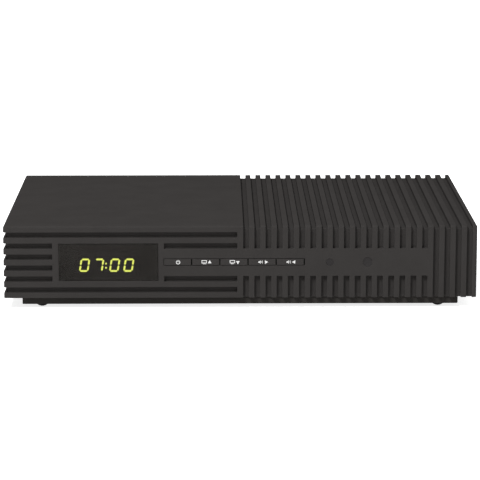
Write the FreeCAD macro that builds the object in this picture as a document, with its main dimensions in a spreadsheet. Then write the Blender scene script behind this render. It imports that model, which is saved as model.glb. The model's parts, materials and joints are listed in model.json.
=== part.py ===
"""Satellite television receiver, built as an assembly of separate pieces.

Millimetres, +Z up, +X to the right of the front, front towards -Y. The origin is at the
middle of the whole part's box, on the surface that the four feet stand on.

The sizes are named once in SIZES and put in the document's spreadsheet. PLACES holds
formulas in those names for the levels and lines that several pieces share. Every sketch,
primitive and placement below is bound to formulas in these two sets of names.
"""
import FreeCAD, Part
import os
import re
import Sketcher

SIZES = {
    # Outer shape of the moulded housing, its plinth and its feet
    "body_width": 260.0,
    "layout_width": 260.0,
    "body_depth": 160.0,
    "body_height": 40.4,
    "edge_radius": 1.2,
    "plinth_height": 4.0,
    "plinth_inset_side": 9.8,
    "plinth_inset_front": 3.0,
    "plinth_inset_rear": 3.0,
    "foot_height": 2.3,
    "foot_radius": 4.3,
    "foot_dome_radius": 4.7,
    "foot_flat_radius": 1.3,
    "foot_inset_side": 10.55,
    "foot_inset_end": 7.0,
    "foot_stem_radius": 1.5,
    # Walls and clearances
    "groove_depth": 2.1,
    "skin": 2.1,
    "tray_floor": 2.0,
    "tray_flange": 2.0,
    "tray_wall": 2.0,
    "case_gap": 0.3,
    "fit_gap": 0.05,
    "slide_gap": 0.2,
    # Grooves that run over the top and down the front, on the right half
    "rib_start": 1.65,
    "rib_groove": 3.06,
    "rib_end": 2.55,
    "rib_count": 21,
    "full_rib_count": 4,
    # Grooves that run along the front, on the left half, and round the left side
    "line_drop": 3.65,
    "line_groove": 3.05,
    "line_foot": 2.95,
    "line_count": 6,
    "line_end": 1.7,
    "block_end": 103.2,
    "band_start": 41.8,
    # Smoked display window
    "window_left": 99.7,
    "window_gap": 3.2,
    "window_margin_top": 3.1,
    "window_margin_low": 3.6,
    "window_recess": 0.3,
    "window_lip": 2.0,
    "window_flange": 1.0,
    "window_overlap": 1.4,
    "window_bevel": 1.5,
    # Four-digit display
    "digit_height": 7.5,
    "digit_width": 5.3,
    "digit_pitch": 7.75,
    "pair_gap": 1.05,
    "digit_stroke": 1.0,
    "digit_thickness": 0.15,
    "digit_slope": 0.16,
    "bar_tip_gap": 0.15,
    "bar_point": 0.45,
    "colon_radius": 0.5,
    "colon_shift": 0.35,
    "colon_drop": 0.3,
    "colon_spacing": 2.35,
    "display_centre": 73.5,
    "display_drop": 2.3,
    "display_gap": 0.3,
    "display_margin_side": 1.5,
    "display_margin_top": 2.75,
    # Row of five keys
    "key_count": 5,
    "key_row_left": 41.85,
    "key_pitch": 15.45,
    "key_gap": 0.6,
    "key_height": 3.4,
    "key_drop": 20.3,
    "key_proud": 0.3,
    "key_slack": 0.2,
    "key_lip": 1.2,
    "key_lip_depth": 1.2,
    "key_round": 0.25,
    "key_travel": 0.35,
    "plunger_radius": 1.7,
    "plunger_depth": 0.8,
    "tact_width": 6.2,
    "tact_depth": 3.5,
    # Receiver eye and standby light
    "standby_centre": 49.1,
    "standby_radius": 1.95,
    "eye_centre": 69.9,
    "eye_radius": 2.5,
    "eye_drop": 20.5,
    "lens_lip": 1.0,
    "lens_lip_depth": 1.0,
    "led_radius": 1.5,
    "led_nose_radius": 0.8,
    "led_nose": 0.75,
    "led_rim": 0.375,
    "receiver_width": 5.6,
    "receiver_height": 6.9,
    "receiver_depth": 3.0,
    "receiver_dome": 2.1,
    # Circuit boards
    "board_thickness": 1.6,
    "standoff_height": 5.0,
    "standoff_radius": 3.2,
    "front_board_back": 10.5,
    "front_board_left": 110.0,
    "front_board_right": 82.0,
    "front_board_rise": 5.2,
    "front_board_gap": 2.0,
    "main_left": 34.0,
    "main_front": 30.0,
    "board_post_gap": 7.0,
    "power_right": 40.0,
    "power_front": 38.0,
    "board_rear_gap": 1.0,
    "hole_inset": 4.0,
    "rear_hole_inset": 50.0,
    # Screws
    "screw_radius": 1.4,
    "screw_head_radius": 2.7,
    "screw_head_height": 1.8,
    "screw_length": 8.0,
    "board_screw_length": 5.0,
    "clearance_radius": 1.7,
    "boss_radius": 4.0,
    "case_screw_wall": 7.2,
    "case_screw_end": 25.0,
    "screw_recess": 2.5,
    "screw_shelf": 2.0,
    "shelf_radius": 4.5,
    "lug_width": 9.0,
    "lug_height": 9.0,
    "lug_depth": 7.0,
    "panel_screw_wall": 6.8,
    "panel_screw_inset": 4.5,
    # Rear panel and what goes through it
    "panel_thickness": 1.0,
    "rear_reveal": 1.5,
    "cutout_gap": 0.15,
    "panel_vent_width": 2.4,
    "panel_vent_height": 8.0,
    "panel_vent_pitch": 5.2,
    "panel_vent_count": 14,
    "panel_vent_start": 6.0,
    "panel_vent_drop": 10.2,
    "floor_vent_width": 3.0,
    "floor_vent_length": 34.0,
    "floor_vent_pitch": 7.0,
    "floor_vent_count": 15,
    "floor_vent_start": -47.0,
    "floor_vent_front": 62.0,
    # Aerial sockets on the tuner
    "coax_left": 94.0,
    "coax_spacing": 20.0,
    "coax_rise": 8.0,
    "coax_radius": 4.76,
    "coax_neck_radius": 4.96,
    "coax_chamfer": 0.5,
    "coax_reach": 10.5,
    "coax_bore": 2.5,
    "coax_bore_depth": 6.0,
    "coax_insulator_sink": 0.6,
    "coax_contact_radius": 0.6,
    "coax_nut_flats": 12.7,
    "coax_nut_thickness": 2.4,
    "tuner_margin": 9.0,
    "tuner_depth": 38.0,
    "tuner_height": 14.0,
    "tuner_wall": 0.6,
    # Serial service port
    "serial_centre": 44.0,
    "serial_rise": 6.6,
    "serial_shell_width": 16.9,
    "serial_shell_height": 8.4,
    "serial_shell_slope": 0.9,
    "serial_shell_reach": 5.2,
    "serial_shell_wall": 0.5,
    "serial_flange_width": 30.8,
    "serial_flange_height": 12.5,
    "serial_flange_depth": 0.8,
    "serial_lock_spacing": 25.0,
    "serial_hex_flats": 4.8,
    "serial_hex_length": 5.0,
    "serial_thread_radius": 1.1,
    "serial_thread_depth": 4.5,
    "serial_body_depth": 9.0,
    "serial_contact_pitch": 2.77,
    "serial_contact_radius": 0.55,
    "serial_contact_row": 2.84,
    # Phono sockets
    "phono_first": 20.0,
    "phono_pitch": 14.0,
    "digital_centre": -24.0,
    "phono_rise": 7.0,
    "phono_collar_radius": 5.2,
    "phono_collar_reach": 1.0,
    "phono_sleeve_radius": 4.15,
    "phono_sleeve_wall": 0.5,
    "phono_sleeve_length": 8.5,
    "phono_core_sink": 0.8,
    "phono_bore_radius": 1.65,
    "phono_bore_depth": 9.0,
    "phono_block_width": 11.0,
    "phono_block_depth": 12.0,
    "phono_block_height": 13.0,
    # Mains inlet
    "inlet_centre": -92.0,
    "inlet_rise": 9.0,
    "inlet_bezel_width": 25.0,
    "inlet_bezel_height": 15.0,
    "inlet_bezel_depth": 1.6,
    "inlet_body_width": 21.0,
    "inlet_body_height": 12.0,
    "inlet_body_depth": 20.0,
    "inlet_recess_radius": 4.15,
    "inlet_recess_depth": 13.0,
    "inlet_pin_spacing": 8.6,
    "inlet_pin_radius": 1.2,
    "inlet_pin_length": 10.0,
    # Mains rocker switch
    "switch_centre": -62.0,
    "switch_rise": 14.6,
    "switch_bezel_width": 15.0,
    "switch_bezel_height": 21.0,
    "switch_bezel_depth": 1.8,
    "switch_body_width": 13.0,
    "switch_body_height": 19.0,
    "switch_body_depth": 13.0,
    "rocker_width": 10.4,
    "rocker_radius": 8.2,
    "rocker_crest": 3.2,
    "rocker_valley": 2.2,
    "rocker_tail": 2.5,
    "rocker_tail_width": 3.0,
    "rocker_tilt": 12.0,
    "rocker_pin_radius": 1.2,
    "rocker_pin_reach": 0.9,
    "rocker_gap": 0.3,
    # Parts on the main board
    "decoder_size": 27.0,
    "decoder_height": 2.2,
    "decoder_x": 30.0,
    "decoder_y": 72.0,
    "sink_size": 30.0,
    "sink_base": 2.5,
    "sink_height": 10.0,
    "sink_fin": 1.2,
    "sink_fin_count": 7,
    "memory_length": 22.0,
    "memory_width": 10.2,
    "memory_height": 1.2,
    "memory_x": 62.0,
    "memory_pitch": 15.0,
    "header_width": 24.0,
    "header_wall": 1.0,
    "header_depth": 5.0,
    "header_height": 6.0,
    "ribbon_width": 20.0,
    "ribbon_thickness": 0.9,
    "ribbon_bend": 8.0,
    "front_link_x": 12.0,
    "front_link_rise": 18.0,
    "front_link_run": 46.0,
    "power_link_width": 12.0,
    "power_link_y": 64.0,
    "power_link_inset": 7.0,
    "power_link_rise": 18.0,
    # Parts on the power board
    "transformer_width": 26.0,
    "transformer_depth": 22.0,
    "transformer_height": 24.0,
    "transformer_x": -62.0,
    "transformer_y": 84.0,
    "transformer_leg": 6.0,
    "bulk_radius": 9.0,
    "bulk_height": 26.0,
    "bulk_x": -92.0,
    "bulk_y": 86.0,
    "choke_width": 18.0,
    "choke_depth": 12.0,
    "choke_height": 15.0,
    "choke_y": 112.0,
    "choke_leg": 3.5,
    "fuse_length": 20.0,
    "fuse_radius": 2.6,
    "fuse_glass_radius": 2.2,
    "fuse_cap_length": 5.0,
    "fuse_rise": 4.0,
    "clip_width": 4.0,
    "clip_wall": 1.0,
    "fuse_x": -68.0,
    "fuse_y": 116.0,
    "can_bead_rise": 1.2,
    "can_bead": 0.35,
    "can_shoulder": 0.3,
    "can_radius": 4.0,
    "can_height": 12.0,
    "can_pitch": 10.0,
    "power_cans_x": -52.0,
    "power_cans_y": 52.0,
    "main_cans_x": -14.0,
    "main_cans_y": 112.0,
    "cooler_x": -92.0,
    "cooler_y": 60.0,
    "cooler_length": 26.0,
    "cooler_height": 22.0,
    "cooler_web": 2.0,
    "cooler_fin_depth": 8.0,
    "cooler_fin": 1.4,
    "cooler_fin_count": 5,
}

# Sizes across the width that keep their share of it when the body's width changes
SHARES = {
    "window_left", "display_centre", "block_end", "band_start", "key_row_left", "key_pitch",
    "standby_centre", "eye_centre", "front_board_left", "front_board_right", "main_left",
    "power_right", "coax_left", "coax_spacing", "serial_centre", "phono_first", "phono_pitch",
    "digital_centre", "inlet_centre", "switch_centre", "decoder_x", "memory_x", "front_link_x",
    "transformer_x", "bulk_x", "fuse_x", "power_cans_x", "main_cans_x", "cooler_x",
}

PLACES = {
    "base_z": "foot_height + plinth_height",
    "top_z": "base_z + body_height",
    "front_y": "(key_proud - body_depth - coax_reach + rear_reveal) / 2",
    "back_y": "front_y + body_depth",
    "wall": "groove_depth + skin",
    "cut_through": "3 * wall",
    "boss_root": "skin / 2",
    "tray_root": "tray_floor / 2",
    "inner_x": "body_width / 2 - wall",
    "ceiling_z": "top_z - wall",
    "floor_z": "foot_height + tray_floor",
    "flange_z": "base_z + tray_flange",
    "plinth_x": "body_width / 2 - plinth_inset_side",
    "case_screw_x": "plinth_x - case_screw_wall",
    "board_edge_x": "case_screw_x - board_post_gap",
    "plinth_front_y": "front_y + plinth_inset_front",
    "plinth_back_y": "back_y - plinth_inset_rear",
    "panel_out_y": "back_y - rear_reveal",
    "panel_in_y": "panel_out_y - panel_thickness",
    "panel_top_z": "ceiling_z - case_gap",
    "rib_pitch": "(body_width / 2 - rib_start - rib_groove - rib_end) / (rib_count - 1)",
    "line_pitch": "(body_height - line_drop - line_groove - line_foot) / (line_count - 1)",
    "line_z": "top_z - line_drop - line_groove",
    "last_line_z": "line_z - (line_count - 1) * line_pitch",
    "band_top_z": "line_z - line_pitch",
    "band_bottom_z": "last_line_z + line_groove + line_pitch",
    "key_z": "top_z - key_drop",
    "key_width": "key_pitch - key_gap",
    "key_row_x": "-key_row_left",
    "eye_z": "top_z - eye_drop",
    "window_width": "window_left - band_start - window_gap",
    "window_bottom_z": "last_line_z + line_groove + window_margin_low",
    "window_height": "line_z - window_margin_top - window_bottom_z",
    "display_z": "window_bottom_z + window_height / 2 - display_drop",
    "window_back_y": "front_y + window_lip + window_flange",
    "display_front_y": "window_back_y + display_gap",
    "front_board_y": "front_y + front_board_back",
    "front_board_low_z": "floor_z + front_board_rise",
    "front_board_top_z": "ceiling_z - front_board_gap",
    "tact_front_y": "front_board_y - tact_depth",
    "key_lip_y": "front_y + wall + fit_gap",
    "plunger_y": "key_lip_y + key_lip_depth",
    "board_z": "floor_z + standoff_height",
    "board_top_z": "board_z + board_thickness",
    "board_back_y": "panel_in_y - board_rear_gap",
    "main_front_y": "front_y + main_front",
    "power_front_y": "front_y + power_front",
    "shelf_z": "floor_z + screw_recess + screw_shelf - tray_floor",
    "coax_z": "board_top_z + coax_rise",
    "serial_z": "board_top_z + serial_rise",
    "phono_z": "board_top_z + phono_rise",
    "inlet_z": "board_top_z + inlet_rise",
    "tuner_back_y": "panel_in_y - case_gap",
    "panel_screw_high_z": "panel_top_z - panel_screw_inset",
    "panel_screw_low_z": "flange_z + panel_screw_inset",
    "switch_z": "board_top_z + switch_rise",
    "panel_vent_z": "panel_top_z - panel_vent_drop",
    "panel_screw_x": "inner_x - panel_screw_wall",
    "sink_z": "board_top_z + decoder_height",
    "pilot_radius": "screw_radius + fit_gap",
}

# Directions in which a sketch on each plane of a body faces, along its own axis
PLANES = {"XY_Plane": 1, "XZ_Plane": -1, "YZ_Plane": 1}

TURNS = {
    "Z": FreeCAD.Rotation(),
    "-Z": FreeCAD.Rotation(FreeCAD.Vector(1, 0, 0), 180),
    "Y": FreeCAD.Rotation(FreeCAD.Vector(1, 0, 0), -90),
    "-Y": FreeCAD.Rotation(FreeCAD.Vector(1, 0, 0), 90),
    "X": FreeCAD.Rotation(FreeCAD.Vector(0, 1, 0), 90),
}

DOC = FreeCAD.newDocument("Receiver")
SUBPARTS = []


def fill_spreadsheet():
    """Put every driving dimension in the sheet, under its own name."""
    sheet = DOC.addObject("Spreadsheet::Sheet", "Sizes")
    for row, (name, size) in enumerate(SIZES.items(), start=1):
        sheet.set("A%d" % row, name)
        sheet.set("B%d" % row, str(size))
        sheet.setAlias("B%d" % row, name)
    DOC.recompute()


def expand(formula):
    """Write a formula out in the spreadsheet's names."""
    def look_up(match):
        word = match.group(0)
        if word in SHARES:
            return "(Sizes.%s * Sizes.body_width / Sizes.layout_width)" % word
        if word in SIZES:
            return "Sizes." + word
        if word in PLACES:
            return "(" + expand(PLACES[word]) + ")"
        return word
    return re.sub(r"[a-z][a-z0-9_]*", look_up, str(formula))


def bind(item, prop, formula):
    """Let a property follow a formula of the spreadsheet's sizes."""
    item.setExpression(prop, expand(formula))


def place(item, x, y, z, axis="Z"):
    """Move an object, and turn its own Z to the axis named."""
    item.Placement.Rotation = TURNS[axis]
    bind(item, "Placement.Base.x", x)
    bind(item, "Placement.Base.y", y)
    bind(item, "Placement.Base.z", z)
    return item


def keep(item, label):
    """List an object as a finished sub-part under its name."""
    item.Label = label
    SUBPARTS.append(item)
    return item


# Primitives and booleans

def box(dx, dy, dz, x=0, y=0, z=0):
    """A box from its lowest corner."""
    item = DOC.addObject("Part::Box", "Box")
    bind(item, "Length", dx)
    bind(item, "Width", dy)
    bind(item, "Height", dz)
    return place(item, x, y, z)


def block(dx, dy, dz, x, y, z):
    """A box that is centred on x and y and stands on z."""
    return box(dx, dy, dz, "(%s) - (%s) / 2" % (x, dx), "(%s) - (%s) / 2" % (y, dy), z)


def cylinder(radius, height, x=0, y=0, z=0, axis="Z"):
    """A round bar from its end at the point named, along the axis."""
    item = DOC.addObject("Part::Cylinder", "Cylinder")
    bind(item, "Radius", radius)
    bind(item, "Height", height)
    return place(item, x, y, z, axis)


def cut(base, tool):
    """The first solid without the second."""
    item = DOC.addObject("Part::Cut", "Cut")
    item.Base = base
    item.Tool = tool
    return item


def common(first, second):
    """What two solids share."""
    item = DOC.addObject("Part::Common", "Common")
    item.Base = first
    item.Tool = second
    return item


def fuse(items):
    """One solid out of several that touch."""
    item = DOC.addObject("Part::MultiFuse", "Fusion")
    item.Shapes = items
    item.Refine = True
    return item


def group(items, label):
    """Separate solids that share one node."""
    item = DOC.addObject("Part::Compound", "Group")
    item.Links = items
    return keep(item, label)


# Sketches and features of a body

def origin_feature(body, role):
    """A plane or an axis of a body, by its role."""
    return next(item for item in body.Origin.OriginFeatures if item.Role == role)


def rectangle(u0, v0, u1, v1):
    """The corners of a rectangle, anticlockwise."""
    return [(u0, v0), (u1, v0), (u1, v1), (u0, v1)]


def new_sketch(body, plane, level):
    """A sketch on one of the body's own planes, moved to a level along its axis."""
    sketch = body.newObject("Sketcher::SketchObject", "Sketch")
    sketch.AttachmentSupport = (origin_feature(body, plane), [""])
    sketch.MapMode = "FlatFace"
    bind(sketch, "AttachmentOffset.Base.z", "%d * (%s)" % (PLANES[plane], level))
    return sketch


def pin_point(sketch, edge, end, spot, u, v):
    """Hold a point of a sketch, drawn at a spot, at two formulas from the sketch's origin."""
    for kind, start, formula in (("DistanceX", spot.x, u), ("DistanceY", spot.y, v)):
        index = sketch.addConstraint(Sketcher.Constraint(kind, -1, 1, edge, end, start))
        bind(sketch, "Constraints[%d]" % index, formula)


def add_polygon(sketch, points):
    """A closed outline of straight lines through the points, first drawn round a circle."""
    first = sketch.GeometryCount
    count = len(points)
    spots = []
    for index in range(count):
        turn = FreeCAD.Rotation(FreeCAD.Vector(0, 0, 1), 360.0 * index / count)
        spots.append(turn.multVec(FreeCAD.Vector(10, 0, 0)))
    for index in range(count):
        sketch.addGeometry(Part.LineSegment(spots[index], spots[(index + 1) % count]))
    for index in range(count):
        follower = first + (index + 1) % count
        sketch.addConstraint(Sketcher.Constraint("Coincident", first + index, 2, follower, 1))
    for index, (u, v) in enumerate(points):
        pin_point(sketch, first + index, 1, spots[index], u, v)


def add_circle(sketch, u, v, radius):
    """Draw a circle whose centre and radius follow formulas."""
    centre = FreeCAD.Vector()
    edge = sketch.addGeometry(Part.Circle(centre, FreeCAD.Vector(0, 0, 1), 1.0))
    pin_point(sketch, edge, 3, centre, u, v)
    index = sketch.addConstraint(Sketcher.Constraint("Radius", edge, 1.0))
    bind(sketch, "Constraints[%d]" % index, radius)


def sketch_of(body, plane, level, polygons=(), circles=()):
    """A sketch with all the outlines and circles given."""
    sketch = new_sketch(body, plane, level)
    for points in polygons:
        add_polygon(sketch, points)
    for circle in circles:
        add_circle(sketch, *circle)
    return sketch


def add_pad(body, plane, level, length, polygons=(), circles=()):
    """Material from a level towards the plus end of the plane's axis."""
    pad = body.newObject("PartDesign::Pad", "Pad")
    pad.Profile = sketch_of(body, plane, level, polygons, circles)
    bind(pad, "Length", length)
    pad.Reversed = PLANES[plane] < 0
    return pad


def add_pocket(body, plane, level, length, polygons=(), circles=()):
    """A cut from a level towards the plus end of the plane's axis."""
    DOC.recompute()
    before = body.Shape.Volume
    pocket = body.newObject("PartDesign::Pocket", "Pocket")
    pocket.Profile = sketch_of(body, plane, level, polygons, circles)
    bind(pocket, "Length", length)
    pocket.Reversed = PLANES[plane] > 0
    DOC.recompute()
    if body.Shape.Volume >= before:
        raise RuntimeError("a pocket in %s cuts nothing" % body.Label)
    return pocket


def add_row(body, features, role, count, spacing):
    """Repeat features along one of the body's axes, against it where the axis has a minus."""
    row = body.newObject("PartDesign::LinearPattern", "Row")
    row.Originals = features
    row.Direction = (origin_feature(body, role.lstrip("-")), [""])
    row.Reversed = role.startswith("-")
    row.Mode = "Spacing"
    bind(row, "Occurrences", count)
    bind(row, "Offset", spacing)
    body.Tip = row
    DOC.recompute()
    return row


def add_fillet(body, radius, wanted):
    """Round the edges of the body that a test picks."""
    DOC.recompute()
    base = body.Tip
    edges = []
    for index, edge in enumerate(base.Shape.Edges, start=1):
        if wanted(edge.BoundBox, base.Shape.BoundBox):
            edges.append("Edge%d" % index)
    fillet = body.newObject("PartDesign::Fillet", "Fillet")
    fillet.Base = (base, edges)
    bind(fillet, "Radius", radius)
    DOC.recompute()
    return fillet


def new_body():
    """An empty body for sketched features."""
    return DOC.addObject("PartDesign::Body", "Body")


def turned(points):
    """A body turned about its own Z from an outline of radius and height."""
    body = new_body()
    turn = body.newObject("PartDesign::Revolution", "Revolution")
    sketch = sketch_of(body, "XZ_Plane", 0, polygons=[points])
    turn.Profile = sketch
    turn.ReferenceAxis = (sketch, ["V_Axis"])
    turn.Angle = 360
    return body


def near(first, second):
    """Whether two measured lengths are the same."""
    return abs(first - second) < 1e-4


# The housing, its tray and its rear panel

def outer_front_edges(edge, whole):
    """Edges round the top and the two front corners, without those of the open back and base."""
    on_top = near(edge.ZMin, whole.ZMax)
    along_back = near(edge.YMin, whole.YMax)
    upright = near(edge.ZMin, whole.ZMin) and near(edge.ZMax, whole.ZMax)
    at_front = near(edge.YMax, whole.YMin)
    return (on_top and not along_back) or (upright and at_front)


def housing_shell(body):
    """One moulding for the top, front and sides, open below and behind."""
    add_pad(body, "XY_Plane", "base_z", "body_height", polygons=[
        rectangle("-body_width / 2", "front_y", "body_width / 2", "back_y")])
    add_fillet(body, "edge_radius", outer_front_edges)
    add_pocket(body, "XY_Plane", "base_z", "body_height - wall", polygons=[
        rectangle("-inner_x", "front_y + wall", "inner_x", "back_y + wall")])


def housing_ribs(body):
    """The 21 grooves over the top and down the front, parted by the flat band for the keys."""
    over = add_pocket(body, "YZ_Plane", "rib_start", "rib_groove", polygons=[[
        ("front_y - wall", "band_top_z"),
        ("front_y + groove_depth", "band_top_z"),
        ("front_y + groove_depth", "top_z - groove_depth"),
        ("back_y + wall", "top_z - groove_depth"),
        ("back_y + wall", "top_z + wall"),
        ("front_y - wall", "top_z + wall")]])
    below = add_pocket(body, "YZ_Plane", "rib_start", "rib_groove", polygons=[
        rectangle("front_y - wall", "base_z - wall", "front_y + groove_depth", "band_bottom_z")])
    add_row(body, [over, below], "X_Axis", "rib_count", "rib_pitch")
    first_full = "rib_start + (rib_count - full_rib_count) * rib_pitch"
    full = add_pocket(body, "YZ_Plane", first_full, "rib_groove", polygons=[
        rectangle("front_y - wall", "band_bottom_z", "front_y + groove_depth", "band_top_z")])
    add_row(body, [full], "X_Axis", "full_rib_count", "rib_pitch")


def wrapped_line(end):
    """Plan of a groove that runs along the front to an end and round the left side."""
    return [("-body_width / 2 - wall", "front_y - wall"),
            (end, "front_y - wall"),
            (end, "front_y + groove_depth"),
            ("-body_width / 2 + groove_depth", "front_y + groove_depth"),
            ("-body_width / 2 + groove_depth", "back_y + wall"),
            ("-body_width / 2 - wall", "back_y + wall")]


def housing_lines(body):
    """The six level grooves of the left half, cut short round the window and the key band."""
    outer = add_pocket(body, "XY_Plane", "line_z", "line_groove",
                       polygons=[wrapped_line("-line_end")])
    add_row(body, [outer], "-Z_Axis", 2, "(line_count - 1) * line_pitch")
    inner = add_pocket(body, "XY_Plane", "line_z - line_pitch", "line_groove",
                       polygons=[wrapped_line("-block_end")])
    add_row(body, [inner], "-Z_Axis", "line_count - 2", "line_pitch")
    short = add_pocket(body, "XY_Plane", "line_z - line_pitch", "line_groove", polygons=[
        rectangle("-band_start", "front_y - wall", "-line_end", "front_y + groove_depth")])
    add_row(body, [short], "-Z_Axis", 2, "(line_count - 3) * line_pitch")


def housing_openings(body):
    """The window with its seat, the slot for the keys and the holes for the two lenses."""
    add_pocket(body, "XZ_Plane", "front_y - wall", "cut_through", polygons=[
        rectangle("-window_left", "window_bottom_z",
                  "-window_left + window_width", "window_bottom_z + window_height"),
        rectangle("key_row_x - slide_gap", "key_z - key_height / 2 - key_slack",
                  "key_row_x + key_count * key_pitch", "key_z + key_height / 2 + key_slack")],
        circles=[("standby_centre", "eye_z", "standby_radius + fit_gap"),
                 ("eye_centre", "eye_z", "eye_radius + fit_gap")])
    add_pocket(body, "XY_Plane", "window_bottom_z", "window_height", polygons=[[
        ("-window_left - window_bevel", "front_y - wall"),
        ("-window_left + case_gap", "front_y - wall"),
        ("-window_left + case_gap", "front_y + window_recess"),
        ("-window_left", "front_y + window_recess"),
        ("-window_left - window_bevel", "front_y")]])
    seat = "window_overlap + case_gap"
    add_pocket(body, "XZ_Plane", "front_y + window_lip", "wall", polygons=[
        rectangle("-window_left - (%s)" % seat, "window_bottom_z - (%s)" % seat,
                  "-window_left + window_width + (%s)" % seat,
                  "window_bottom_z + window_height + (%s)" % seat)])


def case_screw_spots():
    """Where the four long screws stand, one near each corner."""
    return [(x, y) for x in ("-case_screw_x", "case_screw_x")
            for y in ("front_y + case_screw_end", "back_y - case_screw_end")]


def panel_screw_sides():
    """How far out the rear panel's screws stand, left and right."""
    return ("-panel_screw_x", "panel_screw_x")


def front_board_spots():
    """Where the front board is screwed to its posts."""
    return [(x, z)
            for x in ("-front_board_left + hole_inset", "front_board_right - hole_inset")
            for z in ("front_board_low_z + hole_inset", "front_board_top_z - hole_inset")]


def housing_bosses(body):
    """Screw posts down to the tray, short posts for the front board and lugs for the panel."""
    posts = [(x, y, "boss_radius") for x, y in case_screw_spots()]
    add_pad(body, "XY_Plane", "shelf_z", "ceiling_z - shelf_z + boss_root", circles=posts)
    pilots = [(x, y, "pilot_radius") for x, y in case_screw_spots()]
    add_pocket(body, "XY_Plane", "shelf_z", "screw_length", circles=pilots)
    studs = [(x, z, "standoff_radius") for x, z in front_board_spots()]
    add_pad(body, "XZ_Plane", "front_y + wall - boss_root",
            "front_board_back - wall + boss_root", circles=studs)
    pilots = [(x, z, "pilot_radius") for x, z in front_board_spots()]
    add_pocket(body, "XZ_Plane", "front_y + wall + fit_gap", "front_board_back", circles=pilots)
    lugs = [rectangle("%s - lug_width / 2" % x, "ceiling_z - lug_height",
                      "%s + lug_width / 2" % x, "ceiling_z + boss_root")
            for x in panel_screw_sides()]
    add_pad(body, "XZ_Plane", "panel_in_y - lug_depth", "lug_depth", polygons=lugs)
    holes = [(x, "panel_screw_high_z", "pilot_radius") for x in panel_screw_sides()]
    add_pocket(body, "XZ_Plane", "panel_in_y - screw_length", "screw_length", circles=holes)


def top_housing():
    """The ribbed moulding: shell, posts, openings, lines and ribs in turn."""
    body = new_body()
    housing_shell(body)
    housing_bosses(body)
    housing_openings(body)
    housing_lines(body)
    housing_ribs(body)
    keep(body, "top_housing")


def main_board_spots():
    """Where the main board's four screws stand."""
    return [(x, y)
            for x in ("-main_left + hole_inset", "board_edge_x - hole_inset")
            for y in ("main_front_y + hole_inset", "board_back_y - rear_hole_inset")]


def power_board_spots():
    """Where the power board's four screws stand."""
    return [(x, y)
            for x in ("-board_edge_x + hole_inset", "-power_right - hole_inset")
            for y in ("power_front_y + hole_inset", "board_back_y - hole_inset")]


def foot_spots():
    """Where the four feet stand."""
    return [(x, y)
            for x in ("-plinth_x + foot_inset_side", "plinth_x - foot_inset_side")
            for y in ("plinth_front_y + foot_inset_end", "plinth_back_y - foot_inset_end")]


def lower_vertical_corners(edge, whole):
    """Upright edges of the plinth."""
    return near(edge.ZMin, whole.ZMin) and near(edge.ZMax, whole.ZMax)


def base_tray():
    """Floor pan with a stepped plinth, board posts, screw shelves and cooling slots."""
    body = new_body()
    add_pad(body, "XY_Plane", "foot_height", "plinth_height", polygons=[
        rectangle("-plinth_x", "plinth_front_y", "plinth_x", "plinth_back_y")])
    add_fillet(body, "edge_radius", lower_vertical_corners)
    add_pad(body, "XY_Plane", "base_z", "tray_flange", polygons=[
        rectangle("-inner_x + case_gap", "front_y + wall + case_gap",
                  "inner_x - case_gap", "panel_out_y")])
    add_pocket(body, "XY_Plane", "floor_z", "plinth_height + tray_flange", polygons=[
        rectangle("-plinth_x + tray_wall", "front_y + wall + case_gap + tray_wall",
                  "plinth_x - tray_wall", "plinth_back_y - tray_wall")])
    posts = [(x, y, "standoff_radius") for x, y in main_board_spots() + power_board_spots()]
    add_pad(body, "XY_Plane", "floor_z - tray_root", "standoff_height + tray_root", circles=posts)
    shelves = [(x, y, "shelf_radius") for x, y in case_screw_spots()]
    add_pad(body, "XY_Plane", "floor_z - tray_root", "shelf_z - floor_z + tray_root",
            circles=shelves)
    lugs = [rectangle("%s - lug_width / 2" % x, "flange_z - tray_flange / 2",
                      "%s + lug_width / 2" % x, "flange_z + lug_height")
            for x in panel_screw_sides()]
    add_pad(body, "XZ_Plane", "panel_in_y - lug_depth", "lug_depth", polygons=lugs)
    tray_holes(body)
    tray_vents(body)
    keep(body, "base_tray")


def tray_holes(body):
    """Pilot holes, sunk seats for the screw heads and holes for the feet's stems."""
    pilots = [(x, y, "pilot_radius") for x, y in main_board_spots() + power_board_spots()]
    add_pocket(body, "XY_Plane", "floor_z", "standoff_height", circles=pilots)
    heads = [(x, y, "screw_head_radius + case_gap") for x, y in case_screw_spots()]
    add_pocket(body, "XY_Plane", "foot_height", "screw_recess", circles=heads)
    shanks = [(x, y, "clearance_radius") for x, y in case_screw_spots()]
    add_pocket(body, "XY_Plane", "foot_height", "shelf_z - foot_height", circles=shanks)
    stems = [(x, y, "foot_stem_radius + fit_gap") for x, y in foot_spots()]
    add_pocket(body, "XY_Plane", "foot_height", "tray_floor", circles=stems)
    holes = [(x, "panel_screw_low_z", "pilot_radius") for x in panel_screw_sides()]
    add_pocket(body, "XZ_Plane", "panel_in_y - screw_length", "screw_length", circles=holes)


def tray_vents(body):
    """A row of slots through the floor, under the boards."""
    slot = add_pocket(body, "XY_Plane", "foot_height", "tray_floor", polygons=[
        rectangle("floor_vent_start", "front_y + floor_vent_front",
                  "floor_vent_start + floor_vent_width",
                  "front_y + floor_vent_front + floor_vent_length")])
    add_row(body, [slot], "X_Axis", "floor_vent_count", "floor_vent_pitch")


def phono_centres():
    """Centres of the four phono sockets across the panel."""
    return ["phono_first - %d * phono_pitch" % index for index in range(3)] + ["digital_centre"]


def coax_centres():
    """Centres of the two aerial sockets across the panel."""
    return ["coax_left", "coax_left - coax_spacing"]


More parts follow.
